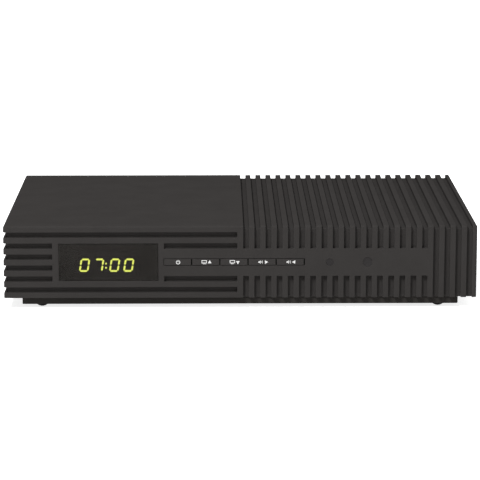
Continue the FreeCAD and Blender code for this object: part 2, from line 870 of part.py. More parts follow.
def serial_outline(grow):
    """The port's D outline: wider along its top than along its base."""
    half = "(serial_shell_width / 2 + (%s))" % grow
    rise = "(serial_shell_height / 2 + (%s))" % grow
    return [("serial_centre - %s + serial_shell_slope" % half, "serial_z - %s" % rise),
            ("serial_centre + %s - serial_shell_slope" % half, "serial_z - %s" % rise),
            ("serial_centre + %s" % half, "serial_z + %s" % rise),
            ("serial_centre - %s" % half, "serial_z + %s" % rise)]


def centred(width, height, x, z, grow="0"):
    """A rectangle about a centre, grown by a gap on every side."""
    half = "((%s) / 2 + (%s))" % (width, grow)
    rise = "((%s) / 2 + (%s))" % (height, grow)
    return rectangle("(%s) - %s" % (x, half), "(%s) - %s" % (z, rise),
                     "(%s) + %s" % (x, half), "(%s) + %s" % (z, rise))


def rear_panel():
    """Sheet panel between the housing's rear edges, cut out for every socket."""
    body = new_body()
    add_pad(body, "XZ_Plane", "panel_in_y", "panel_thickness", polygons=[
        rectangle("-inner_x + case_gap", "flange_z", "inner_x - case_gap", "panel_top_z")])
    rounds = [(x, "coax_z", "coax_neck_radius + cutout_gap") for x in coax_centres()]
    rounds += [(x, "phono_z", "phono_collar_radius + cutout_gap") for x in phono_centres()]
    rounds += [(x, z, "clearance_radius") for x in panel_screw_sides()
               for z in ("panel_screw_low_z", "panel_screw_high_z")]
    rounds += [("serial_centre - serial_lock_spacing / 2", "serial_z", "clearance_radius"),
               ("serial_centre + serial_lock_spacing / 2", "serial_z", "clearance_radius")]
    windows = [serial_outline("cutout_gap"),
               centred("inlet_body_width", "inlet_body_height",
                       "inlet_centre", "inlet_z", "cutout_gap"),
               centred("switch_body_width", "switch_body_height",
                       "switch_centre", "switch_z", "cutout_gap")]
    add_pocket(body, "XZ_Plane", "panel_in_y - wall", "cut_through",
               polygons=windows, circles=rounds)
    slot = add_pocket(body, "XZ_Plane", "panel_in_y - wall", "cut_through", polygons=[
        rectangle("panel_vent_start", "panel_vent_z",
                  "panel_vent_start + panel_vent_width", "panel_vent_z + panel_vent_height")])
    add_row(body, [slot], "X_Axis", "panel_vent_count", "panel_vent_pitch")
    keep(body, "rear_panel")


def rubber_feet():
    """Four domed feet with a small flat tip, each on a stem through the tray's floor."""
    feet = []
    for x, y in foot_spots():
        ball = DOC.addObject("Part::Sphere", "Sphere")
        bind(ball, "Radius", "foot_dome_radius")
        place(ball, x, y, "sqrt(foot_dome_radius^2 - foot_flat_radius^2)")
        dome = common(ball, cylinder("foot_radius", "foot_height", x, y, 0))
        stem = cylinder("foot_stem_radius", "tray_floor", x, y, "foot_height")
        feet.append(fuse([dome, stem]))
    group(feet, "rubber_feet")


# Screws

def screw(length, x, y, z, axis):
    """A pan-head screw whose head seats at the point given, with its shank along the axis."""
    body = turned([(0, "-screw_head_height"),
                   ("screw_head_radius", "-screw_head_height"),
                   ("screw_head_radius", 0),
                   ("screw_radius", 0),
                   ("screw_radius", length),
                   (0, length)])
    return place(body, x, y, z, axis)


def case_screws():
    """Four from below into the housing's posts, four through the rear panel."""
    reach = "screw_length + screw_shelf - fit_gap"
    screws = [screw(reach, x, y, "foot_height + screw_recess", "Z")
              for x, y in case_screw_spots()]
    for x in panel_screw_sides():
        for z in ("panel_screw_low_z", "panel_screw_high_z"):
            screws.append(screw("lug_depth", x, "panel_out_y", z, "-Y"))
    group(screws, "case_screws")


def board_screws():
    """Short screws of the three boards."""
    screws = [screw("board_screw_length", x, y, "board_top_z", "-Z")
              for x, y in main_board_spots() + power_board_spots()]
    for x, z in front_board_spots():
        screws.append(screw("board_screw_length", x, "front_board_y + board_thickness", z, "-Y"))
    group(screws, "board_screws")


# The display window and what stands behind the front wall

def display_window():
    """Smoked pane that fills the opening, with a lip held behind the housing's wall."""
    body = new_body()
    add_pad(body, "XZ_Plane", "window_recess", "window_lip - window_recess", polygons=[
        rectangle("case_gap / 2", "case_gap / 2",
                  "window_width - case_gap / 2", "window_height - case_gap / 2")])
    add_pad(body, "XZ_Plane", "window_lip", "window_flange", polygons=[
        rectangle("-window_overlap", "-window_overlap",
                  "window_width + window_overlap", "window_height + window_overlap")])
    place(body, "-window_left", "front_y", "window_bottom_z")
    keep(body, "display_window")


def display_module():
    """Block of the four-digit display, seated on the front board."""
    depth = "front_board_back - window_lip - window_flange - display_gap"
    width = "4 * digit_pitch + pair_gap + 2 * display_margin_side"
    height = "digit_height + 2 * display_margin_top"
    item = box(width, depth, height, "-display_centre - (%s) / 2" % width,
               "display_front_y", "display_z - (%s) / 2" % height)
    keep(item, "display_module")


def bar(across, u, w, length):
    """One pointed bar of a digit about the digit's centre, leaning with the digit."""
    half = "digit_stroke / 2"
    reach = "(%s) / 2 - bar_tip_gap" % length
    square = "(%s) / 2 - bar_tip_gap - bar_point" % length
    outline = [("-(%s)" % reach, "0"), ("-(%s)" % square, "-" + half), (square, "-" + half),
               (reach, "0"), (square, half), ("-(%s)" % square, half)]
    if not across:
        outline = [(second, first) for first, second in reversed(outline)]
    body = new_body()
    points = []
    for du, dw in outline:
        level = "(%s) + (%s)" % (w, dw)
        points.append(("(%s) + (%s) + digit_slope * (%s)" % (u, du, level), level))
    add_pad(body, "XZ_Plane", "-digit_thickness", "digit_thickness", polygons=[points])
    return body


def digit(x):
    """The seven bars of a digit."""
    side = "(digit_width - digit_stroke) / 2"
    rise = "(digit_height - digit_stroke) / 2"
    bars = [bar(True, "0", level, "digit_width - digit_stroke")
            for level in (rise, "0", "-(%s)" % rise)]
    bars += [bar(False, across, level, rise)
             for across in (side, "-(%s)" % side)
             for level in ("(%s) / 2" % rise, "-(%s) / 2" % rise)]
    return [place(item, x, "display_front_y", "display_z") for item in bars]


def display_segments():
    """Light bars of the four digits and the two dots between the pairs."""
    pieces = []
    for index in range(4):
        side = "-" if index < 2 else "+"
        pieces += digit("-display_centre %s pair_gap / 2 + (%d - 1.5) * digit_pitch" % (side, index))
    for sign in (-1, 1):
        pieces.append(cylinder("colon_radius", "digit_thickness",
                               "-display_centre - colon_shift",
                               "display_front_y - digit_thickness",
                               "display_z + %d * colon_spacing / 2 - colon_drop" % sign, "Y"))
    group(pieces, "display_segments")


def key_centre(index):
    """Middle of a key across the front, counted from the left."""
    return "key_row_x + %d * key_pitch + key_width / 2" % index


def front_rim(edge, whole):
    """Edges of a key's front face."""
    return near(edge.YMax, whole.YMin)


def key_cap(index, label):
    """A key that slides through the slot, with a lip behind the wall that keeps it in."""
    body = new_body()
    add_pad(body, "XZ_Plane", "-key_proud", "key_proud + wall + fit_gap", polygons=[
        centred("key_width", "key_height", "0", "0")])
    add_fillet(body, "key_round", front_rim)
    add_pad(body, "XZ_Plane", "wall + fit_gap", "key_lip_depth", polygons=[
        centred("key_width", "key_height + 2 * key_lip", "0", "0")])
    place(body, key_centre(index), "front_y", "key_z")
    keep(body, label)


def key_plunger(index, label):
    """Button of the switch behind a key."""
    length = "tact_front_y - plunger_y + plunger_depth"
    keep(cylinder("plunger_radius", length, key_centre(index), "plunger_y", "key_z", "Y"), label)


def tact_switches():
    """The switch bodies on the front board, each with the well its button moves in."""
    bodies = []
    for index in range(SIZES["key_count"]):
        case = block("tact_width", "tact_depth", "tact_width", key_centre(index),
                     "front_board_y - tact_depth / 2", "key_z - tact_width / 2")
        well = cylinder("plunger_radius + fit_gap", "plunger_depth + key_travel + case_gap",
                        key_centre(index), "tact_front_y", "key_z", "Y")
        bodies.append(cut(case, well))
    group(bodies, "tact_switches")


def keys():
    """The five keys, their plungers and the small switches behind them."""
    names = ("power", "channel_up", "channel_down", "volume_up", "volume_down")
    for index, name in enumerate(names):
        key_cap(index, name + "_key")
        key_plunger(index, name + "_plunger")
    tact_switches()


def lens(radius, x, label):
    """A dark plug in the front wall with a lip behind it."""
    body = turned([(0, "fit_gap"), (radius, "fit_gap"), (radius, "wall"),
                   ("%s + lens_lip" % radius, "wall"),
                   ("%s + lens_lip" % radius, "wall + lens_lip_depth"),
                   (0, "wall + lens_lip_depth")])
    keep(place(body, x, "front_y", "eye_z", "Y"), label)


def standby_led():
    """Small round lamp on the front board, close behind its lens."""
    length = "front_board_back - wall - lens_lip_depth - display_gap"
    base = "%s - led_nose" % length
    body = turned([(0, 0), ("led_nose_radius", 0), ("led_radius", "led_nose"),
                   ("led_radius", base), ("led_radius + led_rim", base),
                   ("led_radius + led_rim", length), (0, length)])
    place(body, "standby_centre", "front_y + wall + lens_lip_depth + display_gap", "eye_z", "Y")
    keep(body, "standby_led")


def infrared_receiver():
    """Block with a round eye, on the front board behind the larger lens."""
    case = block("receiver_width", "receiver_depth", "receiver_height", "eye_centre",
                 "front_board_y - receiver_depth / 2", "eye_z - receiver_height / 2")
    eye = DOC.addObject("Part::Sphere", "Sphere")
    bind(eye, "Radius", "receiver_dome")
    place(eye, "eye_centre", "front_board_y - receiver_depth", "eye_z")
    keep(fuse([case, eye]), "infrared_receiver")


# Circuit boards

def front_board():
    """The board behind the keys, with its screw holes."""
    body = new_body()
    add_pad(body, "XZ_Plane", "front_board_y", "board_thickness", polygons=[
        rectangle("-front_board_left", "front_board_low_z",
                  "front_board_right", "front_board_top_z")])
    holes = [(x, z, "clearance_radius") for x, z in front_board_spots()]
    add_pocket(body, "XZ_Plane", "front_board_y", "board_thickness", circles=holes)
    keep(body, "front_board")


def flat_board(left, front, right, spots, label):
    """A board on the tray's posts, drilled for its screws."""
    body = new_body()
    add_pad(body, "XY_Plane", "board_z", "board_thickness", polygons=[
        rectangle(left, front, right, "board_back_y")])
    holes = [(x, y, "clearance_radius") for x, y in spots]
    add_pocket(body, "XY_Plane", "board_z", "board_thickness", circles=holes)
    keep(body, label)


def link_headers():
    """Plugs at both ends of the two ribbon cables."""
    front = block("header_width", "header_height", "header_depth", "front_link_x",
                  "front_board_y + board_thickness + header_height / 2",
                  "board_top_z + front_link_rise - header_depth / 2")
    items = [front,
             block("header_width", "header_depth", "header_height", "front_link_x",
                   "front_y + front_link_run", "board_top_z")]
    for x in ("-power_right - power_link_inset", "-main_left + power_link_inset"):
        items.append(block("header_depth", "power_link_width + 2 * header_wall",
                           "header_height", x,
                           "front_y + power_link_y", "board_top_z"))
    group(items, "link_headers")


def bend(width, x, y, z, turn):
    """A quarter turn of ribbon about an axis through the point given."""
    outer = cylinder("ribbon_bend + ribbon_thickness / 2", width, x, y, z)
    inner = cylinder("ribbon_bend - ribbon_thickness / 2", width, x, y, z)
    for item in (outer, inner):
        item.Angle = 90
        item.Placement.Rotation = turn
    return cut(outer, inner)


def front_link_cable():
    """Ribbon from the front board back and down to the main board."""
    x = "front_link_x - ribbon_width / 2"
    start = "front_board_y + board_thickness + header_height"
    level = "board_top_z + front_link_rise"
    turn_y = "front_y + front_link_run - ribbon_bend"
    over = box("ribbon_width", "%s - (%s)" % (turn_y, start), "ribbon_thickness",
               x, start, "%s - ribbon_thickness / 2" % level)
    corner = bend("ribbon_width", x, turn_y, "%s - ribbon_bend" % level,
                  FreeCAD.Rotation(FreeCAD.Vector(1, 1, 1), 120))
    down = box("ribbon_width", "ribbon_thickness",
               "front_link_rise - ribbon_bend - header_height",
               x, "front_y + front_link_run - ribbon_thickness / 2",
               "board_top_z + header_height")
    keep(fuse([over, corner, down]), "front_link_cable")


def power_link_cable():
    """Ribbon in an arch from the power board to the main board."""
    y = "front_y + power_link_y"
    level = "board_top_z + power_link_rise"
    left = "-power_right - power_link_inset"
    right = "-main_left + power_link_inset"
    turn = FreeCAD.Rotation(FreeCAD.Vector(1, 0, 0), 90)
    quarter = FreeCAD.Rotation(FreeCAD.Vector(0, 0, 1), 90)
    back = "%s + power_link_width / 2" % y
    parts = [bend("power_link_width", "%s + ribbon_bend" % left, back,
                  "%s - ribbon_bend" % level, turn.multiply(quarter)),
             bend("power_link_width", "%s - ribbon_bend" % right, back,
                  "%s - ribbon_bend" % level, turn)]
    parts.append(block("%s - (%s) - 2 * ribbon_bend" % (right, left), "power_link_width",
                       "ribbon_thickness", "(%s + %s) / 2" % (left, right), y,
                       "%s - ribbon_thickness / 2" % level))
    for x in (left, right):
        parts.append(block("ribbon_thickness", "power_link_width",
                           "power_link_rise - ribbon_bend - header_height",
                           x, y, "board_top_z + header_height"))
    keep(fuse(parts), "power_link_cable")


def chips():
    """Decoder with its finned cooler, and the memory beside it."""
    x, y = "decoder_x", "front_y + decoder_y"
    keep(block("decoder_size", "decoder_size", "decoder_height", x, y, "board_top_z"),
         "decoder_chip")
    body = new_body()
    add_pad(body, "XY_Plane", 0, "sink_base", polygons=[
        rectangle(0, 0, "sink_size", "sink_size")])
    fin = add_pad(body, "XY_Plane", 0, "sink_height", polygons=[
        rectangle(0, 0, "sink_fin", "sink_size")])
    add_row(body, [fin], "X_Axis", "sink_fin_count",
            "(sink_size - sink_fin) / (sink_fin_count - 1)")
    place(body, "%s - sink_size / 2" % x, "%s - sink_size / 2" % y, "sink_z")
    keep(body, "decoder_heatsink")
    group([block("memory_width", "memory_length", "memory_height",
                 "memory_x + %d * memory_pitch" % index, y, "board_top_z")
           for index in range(2)], "memory_chips")


def can(radius, height, x, y):
    """An upright capacitor with the groove near its base and a rounded shoulder."""
    body = turned([(0, 0), (radius, 0), (radius, "can_bead_rise"),
                   ("%s - can_bead" % radius, "can_bead_rise + can_bead"),
                   (radius, "can_bead_rise + 2 * can_bead"),
                   (radius, "%s - can_shoulder" % height),
                   ("%s - can_shoulder" % radius, height), (0, height)])
    return place(body, x, y, "board_top_z")


def capacitors():
    """The big mains can and the smaller cans of both boards."""
    keep(can("bulk_radius", "bulk_height", "bulk_x", "front_y + bulk_y"), "bulk_capacitor")
    cans = [can("can_radius", "can_height", "power_cans_x - %d * can_pitch" % index,
                "front_y + power_cans_y") for index in range(2)]
    cans += [can("can_radius", "can_height", "main_cans_x + %d * can_pitch" % index,
                 "front_y + main_cans_y") for index in range(3)]
    group(cans, "filter_capacitors")


def wound_core(width, depth, height, leg, x, y):
    """A closed three-legged core and the coil round its middle leg."""
    window = "((%s) - 3 * (%s)) / 2" % (width, leg)
    tall = "(%s) - 2 * (%s)" % (height, leg)
    half_leg = "(%s) / 2" % leg
    core = block(width, "%s / 2" % depth, height, x, y, "board_top_z")
    for sign in (-1, 1):
        hole = block(window, depth, tall,
                     "(%s) + %d * (%s + %s / 2)" % (x, sign, half_leg, window), y,
                     "board_top_z + %s" % leg)
        core = cut(core, hole)
    coil = block("(%s) + 2 * (%s) - case_gap" % (leg, window), depth, "%s - case_gap" % tall,
                 x, y, "board_top_z + %s + case_gap / 2" % leg)
    bore = block("%s + case_gap" % leg, "%s / 2 + case_gap" % depth, height, x, y, "board_top_z")
    return core, cut(coil, bore)


def power_parts():
    """Transformer, mains choke, fuse in its clips and the cooler of the switching stage."""
    core, coil = wound_core("transformer_width", "transformer_depth", "transformer_height",
                            "transformer_leg", "transformer_x", "front_y + transformer_y")
    keep(core, "transformer_core")
    keep(coil, "transformer_coil")
    group(list(wound_core("choke_width", "choke_depth", "choke_height", "choke_leg",
                          "bulk_x", "front_y + choke_y")), "mains_choke")
    keep(comb("cooler_length", "cooler_web", "cooler_fin", "cooler_fin_depth",
              "cooler_fin_count", "cooler_height", "cooler_x", "front_y + cooler_y"),
         "switching_heatsink")
    fuse_and_clips()


def comb(length, web, fin, fin_depth, count, height, x, y):
    """An upright web with fins behind it, standing on the board."""
    body = new_body()
    add_pad(body, "XY_Plane", 0, height, polygons=[
        rectangle("-(%s) / 2" % length, 0, "(%s) / 2" % length, web)])
    first = add_pad(body, "XY_Plane", 0, height, polygons=[
        rectangle("-(%s) / 2" % length, 0, "-(%s) / 2 + %s" % (length, fin),
                  "%s + %s" % (web, fin_depth))])
    add_row(body, [first], "X_Axis", count, "(%s - %s) / (%s - 1)" % (length, fin, count))
    return place(body, x, y, "board_top_z")


def fuse_and_clips():
    """Glass tube fuse with its end caps, held in two clips."""
    cap, tube = "fuse_radius", "fuse_glass_radius"
    inner = "fuse_length - fuse_cap_length"
    body = turned([(0, 0), (cap, 0), (cap, "fuse_cap_length"), (tube, "fuse_cap_length"),
                   (tube, inner), (cap, inner), (cap, "fuse_length"), (0, "fuse_length")])
    level = "board_top_z + fuse_rise"
    y = "front_y + fuse_y"
    keep(place(body, "fuse_x - fuse_length / 2", y, level, "X"), "mains_fuse")
    clips = []
    for sign in (-1, 1):
        x = "fuse_x + %d * (fuse_length - fuse_cap_length) / 2" % sign
        clip = block("clip_width", "2 * (fuse_radius + clip_wall)", "fuse_rise + clip_wall",
                     x, y, "board_top_z")
        seat = cylinder("fuse_radius + fit_gap", "fuse_cap_length",
                        "%s - fuse_cap_length / 2" % x, y, level, "X")
        clips.append(cut(clip, seat))
    group(clips, "fuse_clips")


# Sockets of the rear panel

def tuner():
    """Screened tuner, open to the board below, with its two threaded aerial sockets."""
    width = "coax_spacing + 2 * tuner_margin"
    x, y = "coax_left - coax_spacing / 2", "tuner_back_y - tuner_depth / 2"
    can_body = block(width, "tuner_depth", "tuner_height", x, y, "board_top_z")
    hollow = block("%s - 2 * tuner_wall" % width, "tuner_depth - 2 * tuner_wall",
                   "tuner_height - tuner_wall", x, y, "board_top_z")
    keep(cut(can_body, hollow), "tuner_module")
    coax_socket("coax_left", "lnb_input_socket")
    coax_socket("coax_left - coax_spacing", "loop_output_socket")
    cores = [coax_core(x) for x in coax_centres()]
    group(cores, "coax_insulators")
    nuts = []
    for x in coax_centres():
        hole = cylinder("coax_neck_radius + fit_gap", "coax_nut_thickness",
                        x, "panel_out_y", "coax_z", "Y")
        nuts.append(cut(hexagon("coax_nut_flats", "coax_nut_thickness",
                                x, "panel_out_y", "coax_z"), hole))
    group(nuts, "coax_nuts")


def coax_socket(x, label):
    """Barrel of an aerial socket: a neck under its nut, then the length for the plug."""
    tip = "panel_out_y + coax_reach - tuner_back_y"
    neck = "panel_out_y + coax_nut_thickness - tuner_back_y"
    bottom = "%s - coax_bore_depth" % tip
    body = turned([(0, 0), ("coax_neck_radius", 0), ("coax_neck_radius", neck),
                   ("coax_radius", neck), ("coax_radius", "%s - coax_chamfer" % tip),
                   ("coax_radius - coax_chamfer", tip), ("coax_bore", tip),
                   ("coax_bore", bottom), (0, bottom)])
    keep(place(body, x, "tuner_back_y", "coax_z", "Y"), label)


def coax_core(x):
    """Insulator sunk in the barrel, with the hole for the cable's inner wire."""
    depth = "coax_bore_depth - coax_insulator_sink"
    core = turned([(0, 0), ("coax_bore - fit_gap", 0), ("coax_bore - fit_gap", depth),
                   ("coax_contact_radius", depth),
                   ("coax_contact_radius", "coax_insulator_sink"),
                   (0, "coax_insulator_sink")])
    return place(core, x, "panel_out_y + coax_reach - coax_bore_depth", "coax_z", "Y")


def hexagon(flats, length, x, y, z):
    """A six-sided bar towards +Y, by its width across the flats."""
    item = DOC.addObject("Part::Prism", "Prism")
    item.Polygon = 6
    bind(item, "Circumradius", "%s / sqrt(3)" % flats)
    bind(item, "Height", length)
    return place(item, x, y, z, "Y")


def serial_contacts():
    """Centres of the nine contact holes, five over four."""
    upper = [("serial_centre + %d * serial_contact_pitch" % index,
              "serial_z + serial_contact_row / 2") for index in range(-2, 3)]
    lower = [("serial_centre + %.1f * serial_contact_pitch" % (index - 1.5),
              "serial_z - serial_contact_row / 2") for index in range(4)]
    return upper + lower


def serial_port():
    """Nine-way service port: plated shell, moulded insert and two lock posts."""
    shell = new_body()
    flange_y = "panel_in_y - serial_flange_depth"
    add_pad(shell, "XZ_Plane", flange_y, "serial_flange_depth", polygons=[
        centred("serial_flange_width", "serial_flange_height", "serial_centre", "serial_z")])
    add_pad(shell, "XZ_Plane", flange_y,
            "serial_flange_depth + panel_thickness + serial_shell_reach",
            polygons=[serial_outline("0")])
    locks = [("serial_centre + %d * serial_lock_spacing / 2" % sign, "serial_z")
             for sign in (-1, 1)]
    add_pocket(shell, "XZ_Plane", "panel_in_y - wall", "cut_through + serial_shell_reach",
               polygons=[serial_outline("-serial_shell_wall")],
               circles=[(x, z, "clearance_radius") for x, z in locks])
    keep(shell, "serial_socket_shell")
    insert = new_body()
    add_pad(insert, "XZ_Plane", "%s - serial_body_depth" % flange_y, "serial_body_depth",
            polygons=[centred("serial_shell_width + 2 * serial_shell_wall",
                              "2 * serial_rise", "serial_centre", "serial_z")])
    front = "panel_out_y + serial_shell_reach - serial_shell_wall"
    add_pad(insert, "XZ_Plane", flange_y, "%s - (%s)" % (front, flange_y),
            polygons=[serial_outline("-serial_shell_wall - fit_gap")])
    add_pocket(insert, "XZ_Plane", "%s - serial_shell_reach" % front, "2 * serial_shell_reach",
               circles=[(x, z, "serial_contact_radius") for x, z in serial_contacts()])
    keep(insert, "serial_socket_insert")
    posts = []
    for x, z in locks:
        post = fuse([hexagon("serial_hex_flats", "serial_hex_length", x, "panel_out_y", z),
                     cylinder("screw_radius", "panel_thickness + 2 * serial_flange_depth",
                              x, "panel_in_y - 2 * serial_flange_depth", z, "Y")])
        thread = cylinder("serial_thread_radius", "serial_thread_depth", x,
                          "panel_out_y + serial_hex_length - serial_thread_depth", z, "Y")
        posts.append(cut(post, thread))
    group(posts, "serial_lock_posts")


def phono_socket(x, label):
    """Coloured moulding of a phono socket: block, collar through the panel and bored core."""
    y = "panel_in_y"
    core_reach = "panel_thickness + phono_collar_reach + phono_sleeve_length - phono_core_sink"
    solid = fuse([
        block("phono_block_width", "phono_block_depth", "phono_block_height", x,
              "%s - phono_block_depth / 2" % y, "board_top_z"),
        cylinder("phono_collar_radius", "panel_thickness + phono_collar_reach",
                 x, y, "phono_z", "Y"),
        cylinder("phono_sleeve_radius - phono_sleeve_wall - fit_gap", core_reach,
                 x, y, "phono_z", "Y")])
    bore = cylinder("phono_bore_radius", "phono_bore_depth", x,
                    "%s + %s - phono_bore_depth" % (y, core_reach), "phono_z", "Y")
    keep(cut(solid, bore), label)


def phono_sockets():
    """Four phono sockets, alike but for their colours."""
    names = ("video_socket", "audio_left_socket", "audio_right_socket", "digital_audio_socket")
    sleeves = []
    for x, name in zip(phono_centres(), names):
        phono_socket(x, name)
        y = "panel_out_y + phono_collar_reach"
        outer = cylinder("phono_sleeve_radius", "phono_sleeve_length", x, y, "phono_z", "Y")
        inner = cylinder("phono_sleeve_radius - phono_sleeve_wall", "phono_sleeve_length",
                         x, y, "phono_z", "Y")
        sleeves.append(cut(outer, inner))
    group(sleeves, "phono_sleeves")


def mains_inlet():
    """Two-pin inlet: bezel outside the panel, body behind it and the plug's recess."""
    body = new_body()
    add_pad(body, "XZ_Plane", "panel_out_y - inlet_body_depth", "inlet_body_depth", polygons=[
        centred("inlet_body_width", "inlet_body_height", "inlet_centre", "inlet_z")])
    add_pad(body, "XZ_Plane", "panel_out_y", "inlet_bezel_depth", polygons=[
        centred("inlet_bezel_width", "inlet_bezel_height", "inlet_centre", "inlet_z")])
    bottom = "panel_out_y + inlet_bezel_depth - inlet_recess_depth"
    sides = ["inlet_centre + %d * inlet_pin_spacing / 2" % sign for sign in (-1, 1)]
    add_pocket(body, "XZ_Plane", bottom, "2 * inlet_recess_depth",
               circles=[(x, "inlet_z", "inlet_recess_radius") for x in sides])
    add_pocket(body, "XZ_Plane", bottom, "2 * inlet_recess_depth", polygons=[
        centred("inlet_pin_spacing", "2 * inlet_recess_radius", "inlet_centre", "inlet_z")])
    keep(body, "mains_inlet")
    group([cylinder("inlet_pin_radius", "inlet_pin_length", x, bottom, "inlet_z", "Y")
           for x in sides], "mains_inlet_pins")


def switch_housing():
    """Snap-in case of the mains switch, hollowed to the circle that its rocker sweeps."""
    body = new_body()
    add_pad(body, "XZ_Plane", "panel_out_y - switch_body_depth", "switch_body_depth", polygons=[
        centred("switch_body_width", "switch_body_height", "switch_centre", "switch_z")])
    add_pad(body, "XZ_Plane", "panel_out_y", "switch_bezel_depth", polygons=[
        centred("switch_bezel_width", "switch_bezel_height", "switch_centre", "switch_z")])
    half = "(rocker_width / 2 + rocker_gap)"
    add_pocket(body, "YZ_Plane", "switch_centre - %s" % half, "2 * %s" % half,
               circles=[("panel_out_y", "switch_z", "rocker_radius + rocker_gap")])
    reach = "(rocker_width / 2 + rocker_pin_reach + fit_gap)"
    add_pocket(body, "YZ_Plane", "switch_centre - %s" % reach, "2 * %s" % reach,
               circles=[("panel_out_y", "switch_z", "rocker_pin_radius + fit_gap")])
    keep(body, "switch_housing")


def switch_rocker():
    """Two-sided rocker on its own pins, tilted to the on position."""
    body = new_body()
    crest = "sqrt(rocker_radius^2 - rocker_crest^2)"
    add_pad(body, "YZ_Plane", "-rocker_width / 2", "rocker_width", polygons=[[
        ("-rocker_tail", "-rocker_tail_width"), ("rocker_crest", "-" + crest),
        ("rocker_valley", "0"), ("rocker_crest", crest), ("-rocker_tail", "rocker_tail_width")]])
    add_pad(body, "YZ_Plane", "-rocker_width / 2 - rocker_pin_reach",
            "rocker_width + 2 * rocker_pin_reach", circles=[("0", "0", "rocker_pin_radius")])
    body.Placement.Rotation = FreeCAD.Rotation(FreeCAD.Vector(1, 0, 0), SIZES["rocker_tilt"])
    for direction, formula in (("x", "switch_centre"), ("y", "panel_out_y"), ("z", "switch_z")):
        bind(body, "Placement.Base." + direction, formula)
    bind(body, "Placement.Rotation.Angle", "rocker_tilt")
    keep(body, "switch_rocker")


def build():
    """Make every sub-part, from the case inwards and to the rear."""
    fill_spreadsheet()
    top_housing()
    base_tray()
    rear_panel()
    rubber_feet()
    case_screws()
    board_screws()
    display_window()
    display_module()
    display_segments()
    keys()
    lens("standby_radius", "standby_centre", "standby_lens")
    lens("eye_radius", "eye_centre", "infrared_lens")
    standby_led()
    infrared_receiver()
    front_board()
    flat_board("-main_left", "main_front_y", "board_edge_x", main_board_spots(), "main_board")
    flat_board("-board_edge_x", "power_front_y", "-power_right", power_board_spots(),
               "power_board")
    link_headers()
    front_link_cable()
    power_link_cable()
    chips()
    capacitors()
    power_parts()
    tuner()
    serial_port()
    phono_sockets()
    mains_inlet()
    switch_housing()
    switch_rocker()


def check_and_write():
    """Stop on any failed object or bad shape, then write one STEP file per sub-part."""
    DOC.recompute()
    for item in DOC.Objects:
        if "Invalid" in item.State or "Error" in item.State:
            raise RuntimeError("%s (%s) failed" % (item.Name, item.Label))
    os.makedirs("parts", exist_ok=True)
    for item in SUBPARTS:
        if item.Shape.isNull() or not item.Shape.isValid():
            raise RuntimeError("%s has no valid shape" % item.Label)
        item.Shape.exportStep("parts/%s.step" % item.Label)
        print("%-24s %2d solids %10.1f mm3" % (item.Label, len(item.Shape.Solids),
                                               item.Shape.Volume))


build()
check_and_write()
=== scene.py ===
"""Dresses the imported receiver: soft mouldings, printed keys, a lit clock, plated sockets and a studio."""
import json
import logging
import math
from contextlib import contextmanager
from dataclasses import dataclass, field
from enum import Enum
from typing import Callable, Iterator, Sequence

import bmesh
import bpy
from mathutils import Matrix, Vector

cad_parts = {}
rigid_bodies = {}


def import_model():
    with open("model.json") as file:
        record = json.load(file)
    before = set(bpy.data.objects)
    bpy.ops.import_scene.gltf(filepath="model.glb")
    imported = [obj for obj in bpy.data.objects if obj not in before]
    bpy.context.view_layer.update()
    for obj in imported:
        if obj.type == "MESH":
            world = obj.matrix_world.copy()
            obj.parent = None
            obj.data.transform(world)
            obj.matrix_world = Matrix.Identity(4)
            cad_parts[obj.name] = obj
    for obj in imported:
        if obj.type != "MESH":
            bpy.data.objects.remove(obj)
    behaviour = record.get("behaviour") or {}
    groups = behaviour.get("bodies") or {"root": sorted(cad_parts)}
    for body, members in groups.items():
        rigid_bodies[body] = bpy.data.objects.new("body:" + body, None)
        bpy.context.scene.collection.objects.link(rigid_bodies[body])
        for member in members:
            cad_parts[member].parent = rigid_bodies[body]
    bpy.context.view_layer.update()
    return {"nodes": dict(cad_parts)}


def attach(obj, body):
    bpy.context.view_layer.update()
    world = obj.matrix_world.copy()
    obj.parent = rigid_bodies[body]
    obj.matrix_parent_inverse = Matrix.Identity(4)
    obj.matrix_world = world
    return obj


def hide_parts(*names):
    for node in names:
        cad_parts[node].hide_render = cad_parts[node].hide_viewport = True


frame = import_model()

MM = 0.001
MERGE_GAP = 0.002
FLAT_ANGLE = 0.4
SHADE_ANGLE = 32.0
SHARP_ANGLE = 40.0
ROUND_STEPS = 2
WORDS = logging.getLogger("receiver")
Colour = tuple[int, int, int]
Spot = tuple[float, float, float]
Thing = bpy.types.Object
Socket = bpy.types.NodeSocket


class Body(Enum):
    """The bodies that a piece may ride on."""

    RECEIVER = "receiver"
    POWER = "power_button"
    CHANNEL_UP = "channel_up_button"
    CHANNEL_DOWN = "channel_down_button"
    VOLUME_UP = "volume_up_button"
    VOLUME_DOWN = "volume_down_button"
    ROCKER = "rocker"


class Mark(Enum):
    """The signs that are printed on the keys."""

    POWER = "power"
    CHANNEL_UP = "channel_up"
    CHANNEL_DOWN = "channel_down"
    VOLUME_UP = "volume_up"
    VOLUME_DOWN = "volume_down"


# ---------------------------------------------------------------- material graphs


def linear(colour: Colour) -> tuple[float, float, float, float]:
    """Turns a colour as it is seen on a screen into the numbers that a shader mixes.

    Args:
        colour: Red, green and blue, each from 0 to 255.

    Returns:
        The same colour in linear light, with an alpha of 1.
    """
    shares = [value / 255 for value in colour]
    lit = [s / 12.92 if s <= 0.04045 else ((s + 0.055) / 1.055) ** 2.4 for s in shares]
    return lit[0], lit[1], lit[2], 1.0


def shaded(colour: Colour, share: float) -> Colour:
    """Makes a colour lighter or darker.

    Args:
        colour: Red, green and blue, each from 0 to 255.
        share: What each number is multiplied by.

    Returns:
        The changed colour, kept within 0 to 255.
    """
    red, green, blue = (max(0, min(255, round(value * share))) for value in colour)
    return red, green, blue


